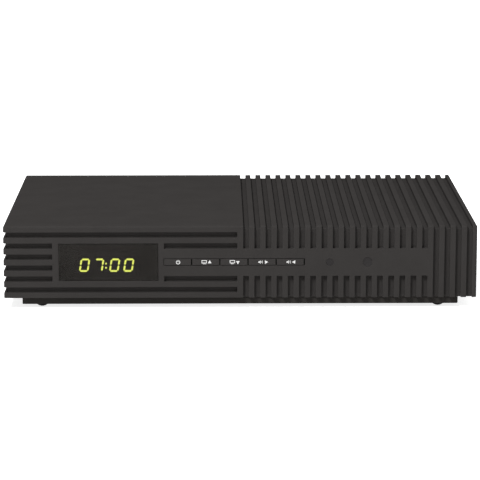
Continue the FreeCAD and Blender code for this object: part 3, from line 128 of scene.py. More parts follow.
class Graph:
    """The node tree of one material, with the few kinds of node that the finishes use."""

    def __init__(self, name: str) -> None:
        """Starts a material that holds only its shader and its output."""
        self.material = bpy.data.materials.new(name)
        self.material.use_nodes = True
        self.tree = self.material.node_tree
        self.shader = self.tree.nodes["Principled BSDF"]
        self.place = self.node("ShaderNodeTexCoord").outputs["Object"]

    def node(self, kind: str, **settings: object) -> bpy.types.Node:
        """Adds a node.

        Args:
            kind: The type name of the node.
            settings: Properties of the node itself.

        Returns:
            The new node.
        """
        made = self.tree.nodes.new(kind)
        for name, value in settings.items():
            setattr(made, name, value)
        return made

    def join(self, source: Socket, target: Socket) -> None:
        """Links one socket to another."""
        self.tree.links.new(source, target)

    def noise(self, size: float, detail: float = 3.0, stretch: Spot = (1.0, 1.0, 1.0)) -> Socket:
        """Soft irregular patches.

        Args:
            size: How wide a patch is, in millimetres.
            detail: How many finer layers it has.
            stretch: How much finer it gets along each axis.

        Returns:
            A value around one half.
        """
        mapping = self.node("ShaderNodeMapping")
        mapping.inputs["Scale"].default_value = stretch
        self.join(self.place, mapping.inputs["Vector"])
        made = self.node("ShaderNodeTexNoise")
        made.inputs["Scale"].default_value = 1 / (size * MM)
        made.inputs["Detail"].default_value = detail
        self.join(mapping.outputs["Vector"], made.inputs["Vector"])
        return made.outputs["Fac"]

    def cells(self, size: float) -> Socket:
        """Small rounded cells.

        Args:
            size: How wide a cell is, in millimetres.

        Returns:
            The distance from the middle of each cell.
        """
        made = self.node("ShaderNodeTexVoronoi")
        made.inputs["Scale"].default_value = 1 / (size * MM)
        self.join(self.place, made.inputs["Vector"])
        return made.outputs["Distance"]

    def stripes(self, pitch: float, axis: str, wander: float = 0.0) -> Socket:
        """Even stripes across one axis.

        Args:
            pitch: From one stripe to the next, in millimetres.
            axis: X, Y or Z.
            wander: How much the stripes waver.

        Returns:
            A value that rises and falls once for each stripe.
        """
        made = self.node("ShaderNodeTexWave", bands_direction=axis)
        made.inputs["Scale"].default_value = math.pi / 10 / (pitch * MM)
        made.inputs["Distortion"].default_value = wander
        self.join(self.place, made.inputs["Vector"])
        return made.outputs["Fac"]

    def range(self, value: Socket, low: float = 0.0, high: float = 1.0,
              start: float = 0.35, end: float = 0.65) -> Socket:
        """Stretches a value over a new range.

        Args:
            value: The value that changes over the surface.
            low: The result at start.
            high: The result at end.
            start: The value that gives low.
            end: The value that gives high.

        Returns:
            The new value, kept between low and high.
        """
        made = self.node("ShaderNodeMapRange", clamp=True)
        self.join(value, made.inputs["Value"])
        for name, number in (("From Min", start), ("From Max", end), ("To Min", low), ("To Max", high)):
            made.inputs[name].default_value = number
        return made.outputs["Result"]

    def times(self, first: Socket, second: Socket) -> Socket:
        """The product of two values that change over the surface."""
        made = self.node("ShaderNodeMath", operation="MULTIPLY")
        self.join(first, made.inputs[0])
        self.join(second, made.inputs[1])
        return made.outputs["Value"]

    def mix(self, share: Socket, first: object, second: object) -> Socket:
        """Mixes two colours.

        Args:
            share: How much of the second colour shows.
            first: A colour, or a socket that gives one.
            second: A colour, or a socket that gives one.

        Returns:
            The mixed colour.
        """
        made = self.node("ShaderNodeMix", data_type="RGBA")
        self.join(share, made.inputs[0])
        for target, value in ((made.inputs[6], first), (made.inputs[7], second)):
            if isinstance(value, Socket):
                self.join(value, target)
            else:
                target.default_value = linear(value)
        return made.outputs[2]

    def edges(self, reach: float) -> Socket:
        """Where the surface turns a corner.

        Args:
            reach: How far from the corner it still counts, in millimetres.

        Returns:
            1 on the corner and 0 away from it.
        """
        rounded = self.node("ShaderNodeBevel", samples=4)
        rounded.inputs["Radius"].default_value = reach * MM
        straight = self.node("ShaderNodeNewGeometry")
        across = self.node("ShaderNodeVectorMath", operation="DOT_PRODUCT")
        self.join(rounded.outputs["Normal"], across.inputs[0])
        self.join(straight.outputs["Normal"], across.inputs[1])
        return self.range(across.outputs["Value"], 1.0, 0.0, 0.82, 0.995)

    def relief(self, height: Socket, depth: float,
               before: Socket | None = None) -> Socket:
        """Makes a value stand up from the surface.

        Args:
            height: The value that changes over the surface.
            depth: The height of a full step, in millimetres.
            before: A relief that this one lies on.

        Returns:
            The normal of the surface.
        """
        made = self.node("ShaderNodeBump")
        made.inputs["Distance"].default_value = depth * MM
        self.join(height, made.inputs["Height"])
        if before is not None:
            self.join(before, made.inputs["Normal"])
        return made.outputs["Normal"]

    def give(self, **values: object) -> None:
        """Sets or links the shader's sockets, each named with _ for a space."""
        for name, value in values.items():
            target = self.shader.inputs[name.replace("_", " ")]
            if isinstance(value, Socket):
                self.join(value, target)
            else:
                target.default_value = value


# ---------------------------------------------------------------- finishes


@dataclass(frozen=True)
class Finish:
    """What every finish has: the slot of the record that it belongs to, and its colour as it is seen."""

    slot: str
    colour: Colour

    def paint(self, graph: Graph) -> None:
        """Puts the finish's own nodes in the graph."""
        raise NotImplementedError

    def material(self) -> bpy.types.Material:
        """Makes the material, or finds it if it was made before.

        Returns:
            The material of this finish.
        """
        name = "finish_" + self.slot
        if name not in bpy.data.materials:
            graph = Graph(name)
            self.paint(graph)
        return bpy.data.materials[name]


@dataclass(frozen=True)
class MouldedPlastic(Finish):
    """Moulded plastic with a fine spark grain, a slightly uneven tone, and corners painted lighter: rubbed
    wear together with a painted highlight along the edges.
    """

    roughness: float = 0.6
    gloss: float = 0.25
    grain: float = 0.55
    depth: float = 0.02
    unevenness: float = 0.05
    # painted highlight: how much lighter the edges are painted, as wear and as the light an edge catches
    edge_wear_and_highlight: float = 1.22

    def paint(self, graph: Graph) -> None:
        """Tone in broad patches, lighter corners that are both rubbed wear and a painted edge highlight, and a
        grain that also breaks up the gloss.
        """
        patches = graph.range(graph.noise(14.0))
        fine = graph.noise(self.grain, 2.0)
        tone = graph.mix(patches, shaded(self.colour, 1 - self.unevenness),
                         shaded(self.colour, 1 + self.unevenness))
        # painted highlight: corners are lightened in patches, partly as rubbed wear, partly as the light an
        # edge catches
        wear_and_highlight_mask = graph.times(graph.edges(0.35), graph.range(graph.noise(5.0), 0.35, 1.0, 0.4, 0.6))
        graph.give(
            Base_Color=graph.mix(wear_and_highlight_mask, tone, shaded(self.colour, self.edge_wear_and_highlight)),
            Roughness=graph.range(fine, self.roughness - 0.06, self.roughness + 0.06),
            Normal=graph.relief(fine, self.depth),
            Specular_IOR_Level=self.gloss,
        )


@dataclass(frozen=True)
class PowderCoat(Finish):
    """Powder paint on sheet steel: a pebbled skin with tiny pale specks."""

    roughness: float = 0.55

    def paint(self, graph: Graph) -> None:
        """Pebbles of about a millimetre under a finer grain, and specks where the powder is thin."""
        pebbles = graph.noise(1.1, 1.0)
        specks = graph.range(graph.noise(0.5, 1.0), 0.0, 1.0, 0.66, 0.72)
        tone = graph.mix(graph.range(graph.noise(22.0)), shaded(self.colour, 0.94), shaded(self.colour, 1.06))
        graph.give(
            Base_Color=graph.mix(specks, tone, shaded(self.colour, 1.5)),
            Roughness=graph.range(pebbles, self.roughness - 0.1, self.roughness + 0.08),
            Normal=graph.relief(graph.noise(0.3, 1.0), 0.008, graph.relief(pebbles, 0.05)),
            Specular_IOR_Level=0.3,
        )


@dataclass(frozen=True)
class PlatedMetal(Finish):
    """Plated metal with fine draw lines and a faint stain."""

    roughness: float = 0.28
    stretch: Spot = (1.0, 12.0, 1.0)

    def paint(self, graph: Graph) -> None:
        """Lines along the piece, and stains that dull it."""
        lines = graph.noise(0.6, 3.0, self.stretch)
        stain = graph.range(graph.noise(4.0), 0.0, 1.0, 0.45, 0.7)
        graph.give(
            Base_Color=graph.mix(stain, self.colour, shaded(self.colour, 0.84)),
            Metallic=1.0,
            Roughness=graph.range(lines, self.roughness - 0.08, self.roughness + 0.12),
            Normal=graph.relief(lines, 0.004),
        )


@dataclass(frozen=True)
class SoftRubber(Finish):
    """Matt rubber with a fine pitted skin and a little dust."""

    def paint(self, graph: Graph) -> None:
        """Dust in patches over a pitted skin."""
        pits = graph.cells(0.5)
        dust = graph.range(graph.noise(3.0), 0.0, 0.35, 0.5, 0.7)
        graph.give(
            Base_Color=graph.mix(dust, self.colour, shaded(self.colour, 2.2)),
            Roughness=graph.range(pits, 0.75, 0.9, 0.0, 0.6),
            Normal=graph.relief(pits, 0.03),
            Specular_IOR_Level=0.2,
        )


@dataclass(frozen=True)
class SmokedPane(Finish):
    """Smoked clear plastic, with faint wipe marks that only show in its gloss."""

    shows_through: float = 0.22
    roughness: float = 0.3

    def paint(self, graph: Graph) -> None:
        """Wipe marks in the gloss, and a slightly uneven smoke."""
        wiped = graph.noise(3.0, 4.0, (1.0, 1.0, 5.0))
        smoke = graph.range(graph.noise(18.0))
        graph.give(
            Base_Color=graph.mix(smoke, shaded(self.colour, 0.95), shaded(self.colour, 1.05)),
            Roughness=graph.range(wiped, self.roughness - 0.05, self.roughness + 0.1),
            Normal=graph.relief(graph.noise(9.0, 1.0), 0.01),
            Alpha=1 - self.shows_through,
            Specular_IOR_Level=0.03,
        )
        graph.material.blend_method = "BLEND"


@dataclass(frozen=True)
class LitBar(Finish):
    """A light bar: it glows evenly, but for a faint grain."""

    strength: float = 22.0

    def paint(self, graph: Graph) -> None:
        """Grain in the glow and a dull lens over it."""
        grain = graph.range(graph.noise(0.5, 1.0))
        glow = graph.mix(grain, shaded(self.colour, 0.93), self.colour)
        graph.give(
            Base_Color=glow,
            Emission_Color=glow,
            Emission_Strength=self.strength,
            Roughness=graph.range(grain, 0.4, 0.5, 0.0, 1.0),
            Normal=graph.relief(grain, 0.004),
        )


@dataclass(frozen=True)
class PrintedInk(Finish):
    """Screen-printed ink with a soft mesh pattern."""

    def paint(self, graph: Graph) -> None:
        """The mesh of the screen in the ink's tone and in its skin."""
        mesh = graph.cells(0.16)
        graph.give(
            Base_Color=graph.mix(graph.range(mesh, start=0.0, end=0.7), self.colour, shaded(self.colour, 0.9)),
            Roughness=graph.range(mesh, 0.5, 0.65, 0.0, 0.7),
            Normal=graph.relief(mesh, 0.006),
        )


@dataclass(frozen=True)
class BoardLaminate(Finish):
    """Circuit board: solder mask over copper tracks, with tinned pads."""

    track: float = 2.4

    def paint(self, graph: Graph) -> None:
        """Tracks both ways as paler bands that stand up a little, and pads in rows."""
        along = graph.range(graph.stripes(self.track, "X", 1.5), 0.0, 1.0, 0.6, 0.66)
        across = graph.range(graph.stripes(self.track * 1.7, "Y", 2.5), 0.0, 1.0, 0.7, 0.76)
        where = graph.range(graph.noise(12.0, 1.0), 0.0, 1.0, 0.48, 0.5)
        tracks = graph.times(along, where)
        pads = graph.range(graph.cells(5.0), 1.0, 0.0, 0.10, 0.13)
        mask = graph.mix(tracks, self.colour, shaded(self.colour, 1.35))
        mask = graph.mix(graph.times(across, where), mask, shaded(self.colour, 1.2))
        graph.give(
            Base_Color=graph.mix(pads, mask, (196, 196, 190)),
            Metallic=pads,
            Roughness=graph.range(graph.noise(1.5), 0.3, 0.45),
            Normal=graph.relief(tracks, 0.035, graph.relief(pads, 0.05)),
        )


@dataclass(frozen=True)
class WrappedTape(Finish):
    """Turns of tape or a shrunk sleeve: an even ridge at each turn."""

    pitch: float = 1.2
    axis: str = "Z"
    gloss: float = 0.4

    def paint(self, graph: Graph) -> None:
        """Ridges with a slight waver, with painted shade in the troughs where two turns meet."""
        ridges = graph.stripes(self.pitch, self.axis, 0.6)
        # painted shade: the troughs between the ridges are darkened
        tone = graph.mix(graph.range(ridges, 0.0, 1.0, 0.1, 0.5), shaded(self.colour, 0.7), self.colour)
        patches = graph.range(graph.noise(6.0), 0.0, 0.4)
        graph.give(
            Base_Color=graph.mix(patches, tone, shaded(self.colour, 1.15)),
            Roughness=graph.range(graph.noise(1.0), 0.32, 0.5),
            Normal=graph.relief(ridges, 0.05),
            Specular_IOR_Level=self.gloss,
        )


@dataclass(frozen=True)
class SinteredFerrite(Finish):
    """Pressed and fired powder: matt, speckled and slightly chipped."""

    def paint(self, graph: Graph) -> None:
        """Specks of two sizes and small chips."""
        chips = graph.range(graph.cells(2.2), 1.0, 0.0, 0.05, 0.2)
        specks = graph.range(graph.noise(0.4, 2.0))
        tone = graph.mix(specks, shaded(self.colour, 0.85), shaded(self.colour, 1.15))
        graph.give(
            Base_Color=graph.mix(chips, tone, shaded(self.colour, 1.5)),
            Roughness=graph.range(specks, 0.6, 0.8, 0.0, 1.0),
            Normal=graph.relief(graph.noise(0.5), 0.04),
        )


@dataclass(frozen=True)
class ClearGlass(Finish):
    """The fuse's glass tube."""

    def paint(self, graph: Graph) -> None:
        """Clear and streaked by its drawing."""
        streaks = graph.noise(1.0, 2.0, (1.0, 6.0, 6.0))
        graph.give(
            Base_Color=graph.mix(graph.range(streaks), self.colour, shaded(self.colour, 0.9)),
            Roughness=graph.range(streaks, 0.05, 0.15),
            Normal=graph.relief(streaks, 0.005),
            Alpha=0.5,
        )
        graph.material.blend_method = "BLEND"


HOUSING = MouldedPlastic("housing_black", (58, 56, 55), roughness=0.85, gloss=0.0, unevenness=0.015)
TRAY = MouldedPlastic("tray_black", (52, 50, 48), roughness=0.8, gloss=0.02, grain=0.7, unevenness=0.02)
KEY = MouldedPlastic("key_black", (58, 56, 55), roughness=0.75, gloss=0.03, grain=0.35, depth=0.01,
                     unevenness=0.01)
LENS = MouldedPlastic("lens_dark", (42, 40, 40), roughness=0.5, gloss=0.12, grain=0.3, depth=0.005)
DISPLAY = MouldedPlastic("display_black", (16, 16, 15), roughness=0.6, gloss=0.2)
WINDOW = SmokedPane("smoked_window", (45, 43, 41))
LIT = LitBar("display_light", (226, 234, 104))
UNLIT = MouldedPlastic("display_unlit", (24, 24, 20), roughness=0.5, gloss=0.2, grain=0.3, depth=0.005)
INK = PrintedInk("key_print", (246, 246, 244))
PANEL = PowderCoat("panel_black", (40, 40, 40))
RUBBER = SoftRubber("foot_rubber", (24, 24, 24))
SCREW = PlatedMetal("screw_steel", (150, 150, 154), roughness=0.34, stretch=(1.0, 1.0, 1.0))
NICKEL = PlatedMetal("nickel", (172, 170, 164))
TIN = PlatedMetal("tinned_steel", (168, 169, 170), roughness=0.42, stretch=(8.0, 1.0, 1.0))
ALUMINIUM = PlatedMetal("heatsink_aluminium", (176, 177, 180), roughness=0.4, stretch=(1.0, 10.0, 1.0))
INLET = MouldedPlastic("inlet_black", (30, 30, 30), roughness=0.45, gloss=0.35, grain=0.4, depth=0.01)
SWITCH = MouldedPlastic("switch_black", (30, 30, 30), roughness=0.4, gloss=0.4, grain=0.4, depth=0.008)
ROCKER = MouldedPlastic("rocker_black", (28, 28, 28), roughness=0.35, gloss=0.4, grain=0.4, depth=0.006)

FINISHES: dict[str, Finish] = {finish.slot: finish for finish in (
    HOUSING, TRAY, KEY, LENS, DISPLAY, WINDOW, LIT, PANEL, RUBBER, SCREW, NICKEL, TIN, ALUMINIUM,
    INLET, SWITCH, ROCKER,
    MouldedPlastic("plunger_white", (204, 204, 198), roughness=0.5, gloss=0.4),
    MouldedPlastic("led_red", (150, 34, 26), roughness=0.3, gloss=0.5, grain=0.3, depth=0.003),
    MouldedPlastic("sensor_black", (26, 24, 26), roughness=0.3, gloss=0.5, grain=0.4, depth=0.004),
    BoardLaminate("board_green", (26, 84, 48)),
    BoardLaminate("board_tan", (160, 128, 80), track=4.5),
    MouldedPlastic("header_white", (216, 214, 204), roughness=0.5, gloss=0.4),
    WrappedTape("ribbon_grey", (152, 152, 158), pitch=1.27, axis="X"),
    MouldedPlastic("chip_black", (34, 34, 35), roughness=0.6, gloss=0.3, grain=0.25, depth=0.01),
    WrappedTape("capacitor_sleeve", (28, 32, 58), pitch=7.0, axis="Z", gloss=0.5),
    SinteredFerrite("ferrite", (56, 55, 54)),
    WrappedTape("coil_tape", (206, 176, 62), pitch=3.2, axis="Z"),
    ClearGlass("fuse_glass", (226, 232, 232)),
    MouldedPlastic("insulator_white", (222, 220, 212), roughness=0.45, gloss=0.4, grain=0.4, depth=0.006),
    MouldedPlastic("insert_blue", (26, 26, 28), roughness=0.5, gloss=0.35, grain=0.4, depth=0.008),
    *(MouldedPlastic("socket_" + hue, colour, roughness=0.45, gloss=0.4, grain=0.4, depth=0.008)
      for hue, colour in (("yellow", (224, 186, 36)), ("white", (226, 226, 220)), ("red", (188, 32, 28)),
                          ("orange", (226, 116, 32)))),
)}


# ---------------------------------------------------------------- the bench: how meshes are worked


def only(*pieces: Thing) -> None:
    """Selects these objects alone and makes the first one active."""
    for thing in bpy.context.view_layer.objects:
        thing.select_set(False)
    for piece in pieces:
        piece.select_set(True)
    bpy.context.view_layer.objects.active = pieces[0]


@contextmanager
def edit(piece: Thing, everything: bool = False) -> Iterator[None]:
    """Opens a piece in edit mode with nothing or everything selected, and closes it afterwards.

    Args:
        piece: The object whose mesh is worked on.
        everything: Whether the whole mesh is selected.

    Returns:
        A context in which the mesh operators act on the piece.
    """
    only(piece)
    bpy.ops.object.mode_set(mode="EDIT")
    bpy.ops.mesh.select_mode(type="FACE")
    bpy.ops.mesh.select_all(action="SELECT" if everything else "DESELECT")
    try:
        yield
    finally:
        bpy.ops.object.mode_set(mode="OBJECT")


def pick_faces(piece: Thing, wanted: Callable[[bmesh.types.BMFace], bool]) -> None:
    """Selects the faces that answer a question, and no others.

    Args:
        piece: The object that is open in edit mode.
        wanted: Says of a face whether it is selected.
    """
    for face in bmesh.from_edit_mesh(piece.data).faces:
        face.select_set(wanted(face))
    bmesh.update_edit_mesh(piece.data)


def push(offset: Spot) -> None:
    """Extrudes what is selected by an offset in millimetres."""
    bpy.ops.mesh.extrude_region_move(TRANSFORM_OT_translate={"value": [value * MM for value in offset]})


def apply(piece: Thing, kind: str, **settings: object) -> None:
    """Adds a modifier and applies it.

    Args:
        piece: The object that is changed.
        kind: The modifier's type.
        settings: The modifier's own settings.
    """
    only(piece)
    modifier = piece.modifiers.new(kind.lower(), kind)
    for name, value in settings.items():
        setattr(modifier, name, value)
    bpy.ops.object.modifier_apply(modifier=modifier.name)


def settle(piece: Thing) -> None:
    """Puts a piece's place, turn and size in its mesh."""
    only(piece)
    bpy.ops.object.transform_apply(location=True, rotation=True, scale=True)


def close_up(piece: Thing) -> None:
    """Merges doubles and turns every face outwards."""
    with edit(piece, True):
        bpy.ops.mesh.remove_doubles(threshold=MERGE_GAP * MM)
        bpy.ops.mesh.normals_make_consistent(inside=False)


def smooth(piece: Thing) -> None:
    """Shades a piece smooth but for its sharp edges, with its flat faces kept flat."""
    only(piece)
    bpy.ops.object.shade_smooth_by_angle(angle=math.radians(SHADE_ANGLE))
    apply(piece, "WEIGHTED_NORMAL", keep_sharp=True, weight=100)


def dress(piece: Thing, finish: Finish) -> None:
    """Gives a piece one material all over."""
    piece.data.materials.clear()
    piece.data.materials.append(finish.material())


def fit(piece: Thing, finish: Finish, body: Body, replaces: Sequence[str] = ()) -> None:
    """Dresses a piece and puts it on its body.

    Args:
        piece: The finished object.
        finish: What it is dressed in.
        body: What it rides on.
        replaces: The CAD nodes that it stands for.
    """
    dress(piece, finish)
    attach(piece, body.value)
    if replaces:
        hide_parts(*replaces)
    WORDS.info("%s: %d faces on %s", piece.name, len(piece.data.polygons), body.value)


def copied(mesh: bpy.types.Mesh, name: str) -> Thing:
    """Makes a new object with its own copy of a mesh.

    Args:
        mesh: The mesh that is copied.
        name: What the new object is called.

    Returns:
        The new object, at the origin.
    """
    piece = bpy.data.objects.new(name, mesh.copy())
    bpy.context.scene.collection.objects.link(piece)
    return piece


def cad_copy(node: str, name: str) -> Thing:
    """A clean copy of a CAD node's mesh as a new object: doubles merged and flat faces made whole.

    Args:
        node: The CAD node.
        name: What the new piece is called.

    Returns:
        The new object, which rides on nothing yet.
    """
    piece = copied(frame["nodes"][node].data, name)
    with edit(piece, True):
        bpy.ops.mesh.remove_doubles(threshold=MERGE_GAP * MM)
        bpy.ops.mesh.dissolve_limited(angle_limit=math.radians(FLAT_ANGLE), use_dissolve_boundaries=False)
    return piece


def soften(piece: Thing, width: float, spared: Callable[[Vector], bool] | None = None) -> None:
    """Rounds a piece's sharp edges a little, as a mould or a press leaves them.

    Args:
        piece: The object that is changed.
        width: How wide the rounding is, in millimetres.
        spared: Says of an edge's middle, in millimetres, whether that edge stays as it is.
    """
    with edit(piece):
        bpy.ops.mesh.select_mode(type="EDGE")
        bpy.ops.mesh.edges_select_sharp(sharpness=math.radians(SHARP_ANGLE))
        if spared is not None:
            mesh = bmesh.from_edit_mesh(piece.data)
            for edge in mesh.edges:
                if edge.select and spared((edge.verts[0].co + edge.verts[1].co) / 2 / MM):
                    edge.select_set(False)
            bmesh.update_edit_mesh(piece.data)
        bpy.ops.mesh.bevel(offset=width * MM, segments=ROUND_STEPS, affect="EDGES", loop_slide=False,
                           clamp_overlap=False)


@dataclass
class SoftenedPiece:
    """A piece that keeps the CAD's shape, with its edges softened."""

    node: str
    finish: Finish
    name: str
    edge: float = 0.18
    body: Body = Body.RECEIVER
    spared: Callable[[Vector], bool] | None = None

    def build(self) -> None:
        """Makes, softens, dresses and fits the piece."""
        piece = cad_copy(self.node, self.name)
        soften(piece, self.edge, spared=self.spared)
        smooth(piece)
        fit(piece, self.finish, self.body, [self.node])


# ---------------------------------------------------------------- the case


@dataclass
class Case:
    """The moulded housing, the tray under it, the sheet-steel rear panel and the feet."""

    housing_edge: float = 0.25
    tray_edge: float = 0.2
    panel_edge: float = 0.08
    foot_edge: float = 0.25
    window: tuple[float, float, float, float] = (-101.25, -44.95, 15.85, 36.95)
    lip: float = -82.5

    def on_window_rim(self, spot: Vector) -> bool:
        """Whether a place lies on the crisp rim round the window."""
        left, right, low, high = self.window
        return spot.y < self.lip and left < spot.x < right and low < spot.z < high

    def build(self) -> None:
        """Builds the four big pieces of the case."""
        SoftenedPiece("top_housing", HOUSING, "moulded_housing", self.housing_edge,
                      spared=self.on_window_rim).build()
        SoftenedPiece("base_tray", TRAY, "vented_tray", self.tray_edge).build()
        SoftenedPiece("rear_panel", PANEL, "pressed_rear_panel", self.panel_edge).build()
        SoftenedPiece("rubber_feet", RUBBER, "domed_feet", self.foot_edge).build()


# ---------------------------------------------------------------- the front


@dataclass
class Clock:
    """The lit display behind the smoked window: four leaning digits of seven bars, and two dots."""

    time: str = "0700"
    centre: tuple[float, float] = (-73.5, 24.1)
    pitch: float = 7.75
    pair_gap: float = 1.05
    dots: float = -0.35
    slope: float = 0.16
    bars: dict[str, str] = field(default_factory=lambda: {
        "0": "abcdef", "1": "bc", "2": "abged", "3": "abgcd", "4": "fgbc",
        "5": "afgcd", "6": "afgedc", "7": "abc", "8": "abcdefg", "9": "abcdfg",
    })

    def bar_name(self, middle: Vector) -> tuple[int, str]:
        """Which bar lies at a place.

        Args:
            middle: The middle of the bar, in metres.

        Returns:
            The digit's number from the left, or -1 for a dot, and the bar's letter.
        """
        across, up = middle.x / MM - self.centre[0], middle.z / MM - self.centre[1]
        if abs(across - self.dots) < 0.4:
            return -1, "dot"
        across -= math.copysign(self.pair_gap / 2, across)
        index = round(across / self.pitch + 1.5)
        u = across - (index - 1.5) * self.pitch - self.slope * up
        if abs(u) < 0.6:
            return index, "a" if up > 1 else "d" if up < -1 else "g"
        if u > 0:
            return index, "b" if up > 0 else "c"
        return index, "f" if up > 0 else "e"

    def is_lit(self, middle: Vector) -> bool:
        """Whether the bar at a place is lit at the time shown."""
        index, letter = self.bar_name(middle)
        return index < 0 or letter in self.bars[self.time[index]]

    def build(self) -> None:
        """Splits the display's bars into lit and unlit ones."""
        lit = cad_copy("display_segments", "lit_bars")
        with edit(lit):
            mesh = bmesh.from_edit_mesh(lit.data)
            dark = set()
            seen: set[int] = set()
            for start in mesh.faces:
                if start.index in seen:
                    continue
                island, edge_of = [], [start]
                seen.add(start.index)
                while edge_of:
                    face = edge_of.pop()
                    island.append(face)
                    for near in (f for e in face.edges for f in e.link_faces if f.index not in seen):
                        seen.add(near.index)
                        edge_of.append(near)
                corners = [v.co for f in island for v in f.verts]
                middle = sum(corners, Vector()) / len(corners)
                if not self.is_lit(middle):
                    dark.update(f.index for f in island)
            pick_faces(lit, lambda face: face.index in dark)
            bpy.ops.mesh.separate(type="SELECTED")
        unlit = next(o for o in bpy.context.selected_objects if o is not lit)
        unlit.name = "unlit_bars"
        fit(lit, LIT, Body.RECEIVER, ["display_segments"])
        fit(unlit, UNLIT, Body.RECEIVER, ["display_segments"])


@dataclass
class KeyRow:
    """The five keys, each with a sign printed on its face."""

    level: float = 26.4
    left: float = -34.425
    pitch: float = 15.45
    shift: float = 0.25
    face: float = -84.65
    round: float = 0.25
    ink: float = 0.06
    sign: float = 2.1
    screen: tuple[float, float] = (2.9, 1.7)
    screen_stroke: float = 0.36
    picture_shift: float = -1.1
    arrow_shift: float = 1.9
    keys: tuple[tuple[str, Body, Mark], ...] = (
        ("power_key", Body.POWER, Mark.POWER),
        ("channel_up_key", Body.CHANNEL_UP, Mark.CHANNEL_UP),
        ("channel_down_key", Body.CHANNEL_DOWN, Mark.CHANNEL_DOWN),
        ("volume_up_key", Body.VOLUME_UP, Mark.VOLUME_UP),
        ("volume_down_key", Body.VOLUME_DOWN, Mark.VOLUME_DOWN),
    )

    def build(self) -> None:
        """Builds the caps and prints them."""
        for index, (node, body, mark) in enumerate(self.keys):
            cap = cad_copy(node, node.replace("key", "cap"))
            with edit(cap):
                pick_faces(cap, lambda face: face.calc_center_median().y < (self.face + self.round) * MM)
                bpy.ops.transform.translate(value=(0, self.ink * MM, 0))
            smooth(cap)
            fit(cap, KEY, body, [node])
            sign = self.sign_of(mark, self.left + self.shift + index * self.pitch)
            fit(sign, INK, body)

    def plate(self, x: float, z: float, width: float, height: float) -> Thing:
        """A flat rectangle on the keys' faces, before it gets its thickness.

        Args:
            x: The middle of the rectangle across the front.
            z: Its middle above the feet.
            width: Its width.
            height: Its height.

        Returns:
            The flat object.
        """
        bpy.ops.mesh.primitive_plane_add(size=MM, location=(x * MM, (self.face + self.ink) * MM, z * MM),
                                         rotation=(math.pi / 2, 0, 0))
        made = bpy.context.object
        made.scale = (width, height, 1)
        settle(made)
        return made

    def disc(self, x: float, z: float, radius: float, corners: int, turn: float = 0.0) -> Thing:
        """A flat disc or a flat figure with even sides.

        Args:
            x: The middle across the front.
            z: The middle above the feet.
            radius: From the middle to a corner.
            corners: How many corners it has.
            turn: How far it is turned, in degrees.

        Returns:
            The flat object.
        """
        bpy.ops.mesh.primitive_circle_add(vertices=corners, radius=radius * MM, fill_type="NGON",
                                          location=(x * MM, (self.face + self.ink) * MM, z * MM),
                                          rotation=(math.pi / 2, math.radians(turn), 0))
        made = bpy.context.object
        settle(made)
        return made

    def frame_of(self, piece: Thing, stroke: float) -> None:
        """Leaves only a rim of a flat piece.

        Args:
            piece: The flat object.
            stroke: How wide the rim is.
        """
        with edit(piece, True):
            bpy.ops.mesh.inset(thickness=stroke * MM)
            bpy.ops.mesh.delete(type="FACE")

    def power_sign(self, x: float) -> list[Thing]:
        """A ring that is open at the top, with a bar in the gap."""
        radius, stroke = self.sign * 0.55, self.sign * 0.19
        ring = self.disc(x, self.level, radius, 40)
        self.frame_of(ring, stroke)
        with edit(ring):
            def at_top(face: bmesh.types.BMFace) -> bool:
                """Whether a face is in the gap."""
                middle = face.calc_center_median()
                return middle.z > self.level * MM and abs(middle.x - x * MM) < 0.42 * radius * MM
            pick_faces(ring, at_top)
            bpy.ops.mesh.delete(type="FACE")
        return [ring, self.plate(x, self.level + 0.55 * radius, stroke, radius)]

    def screen_sign(self, x: float) -> list[Thing]:
        """A small screen on a foot."""
        width, height = self.screen
        screen = self.plate(x, self.level + 0.25, width, height)
        self.frame_of(screen, self.screen_stroke)
        return [screen, self.plate(x, self.level - 0.92, width * 0.55, 0.3)]

    def speaker_sign(self, x: float) -> list[Thing]:
        """A small loudspeaker with a wave in front of it."""
        magnet = self.plate(x - 0.95, self.level, 0.5, 0.75)
        cone = self.plate(x - 0.3, self.level, 0.7, 1.9)
        with edit(cone):
            mesh = bmesh.from_edit_mesh(cone.data)
            for corner in mesh.verts:
                if corner.co.x < (x - 0.3) * MM:
                    corner.co.z = self.level * MM + (corner.co.z - self.level * MM) * 0.4
            bmesh.update_edit_mesh(cone.data)
        wave = self.plate(x + 0.55, self.level, 0.2, 1.0)
        outer = self.plate(x + 1.05, self.level, 0.2, 1.7)
        return [magnet, cone, wave, outer]

    def sign_of(self, mark: Mark, x: float) -> Thing:
        """Draws a key's whole sign and gives it the thickness of the ink.

        Args:
            mark: Which sign it is.
            x: The middle of the key across the front.

        Returns:
            The sign as one object.
        """
        arrow_turn = {Mark.CHANNEL_UP: 0.0, Mark.CHANNEL_DOWN: 180.0,
                      Mark.VOLUME_UP: 90.0, Mark.VOLUME_DOWN: -90.0}
        if mark is Mark.POWER:
            parts = self.power_sign(x)
        else:
            draw = self.screen_sign if "channel" in mark.value else self.speaker_sign
            parts = draw(x + self.picture_shift)
            parts.append(self.disc(x + self.arrow_shift, self.level, self.sign * 0.56, 3, arrow_turn[mark]))
        only(*parts)
        bpy.ops.object.join()
        sign = bpy.context.object
        sign.name = mark.value + "_sign"
        with edit(sign, True):
            push((0, -self.ink, 0))
        close_up(sign)
        return sign


@dataclass
class FrontPane:
    """The smoked window and the two round lenses to the right of the keys."""

    edge: float = 0.15

    def build(self) -> None:
        """Builds the pane and the lenses."""
        for node, finish, name in (("display_window", WINDOW, "smoked_pane"),
                                   ("standby_lens", LENS, "standby_lens_cap"),
                                   ("infrared_lens", LENS, "infrared_lens_cap")):
            SoftenedPiece(node, finish, name, self.edge).build()


# ---------------------------------------------------------------- the rear


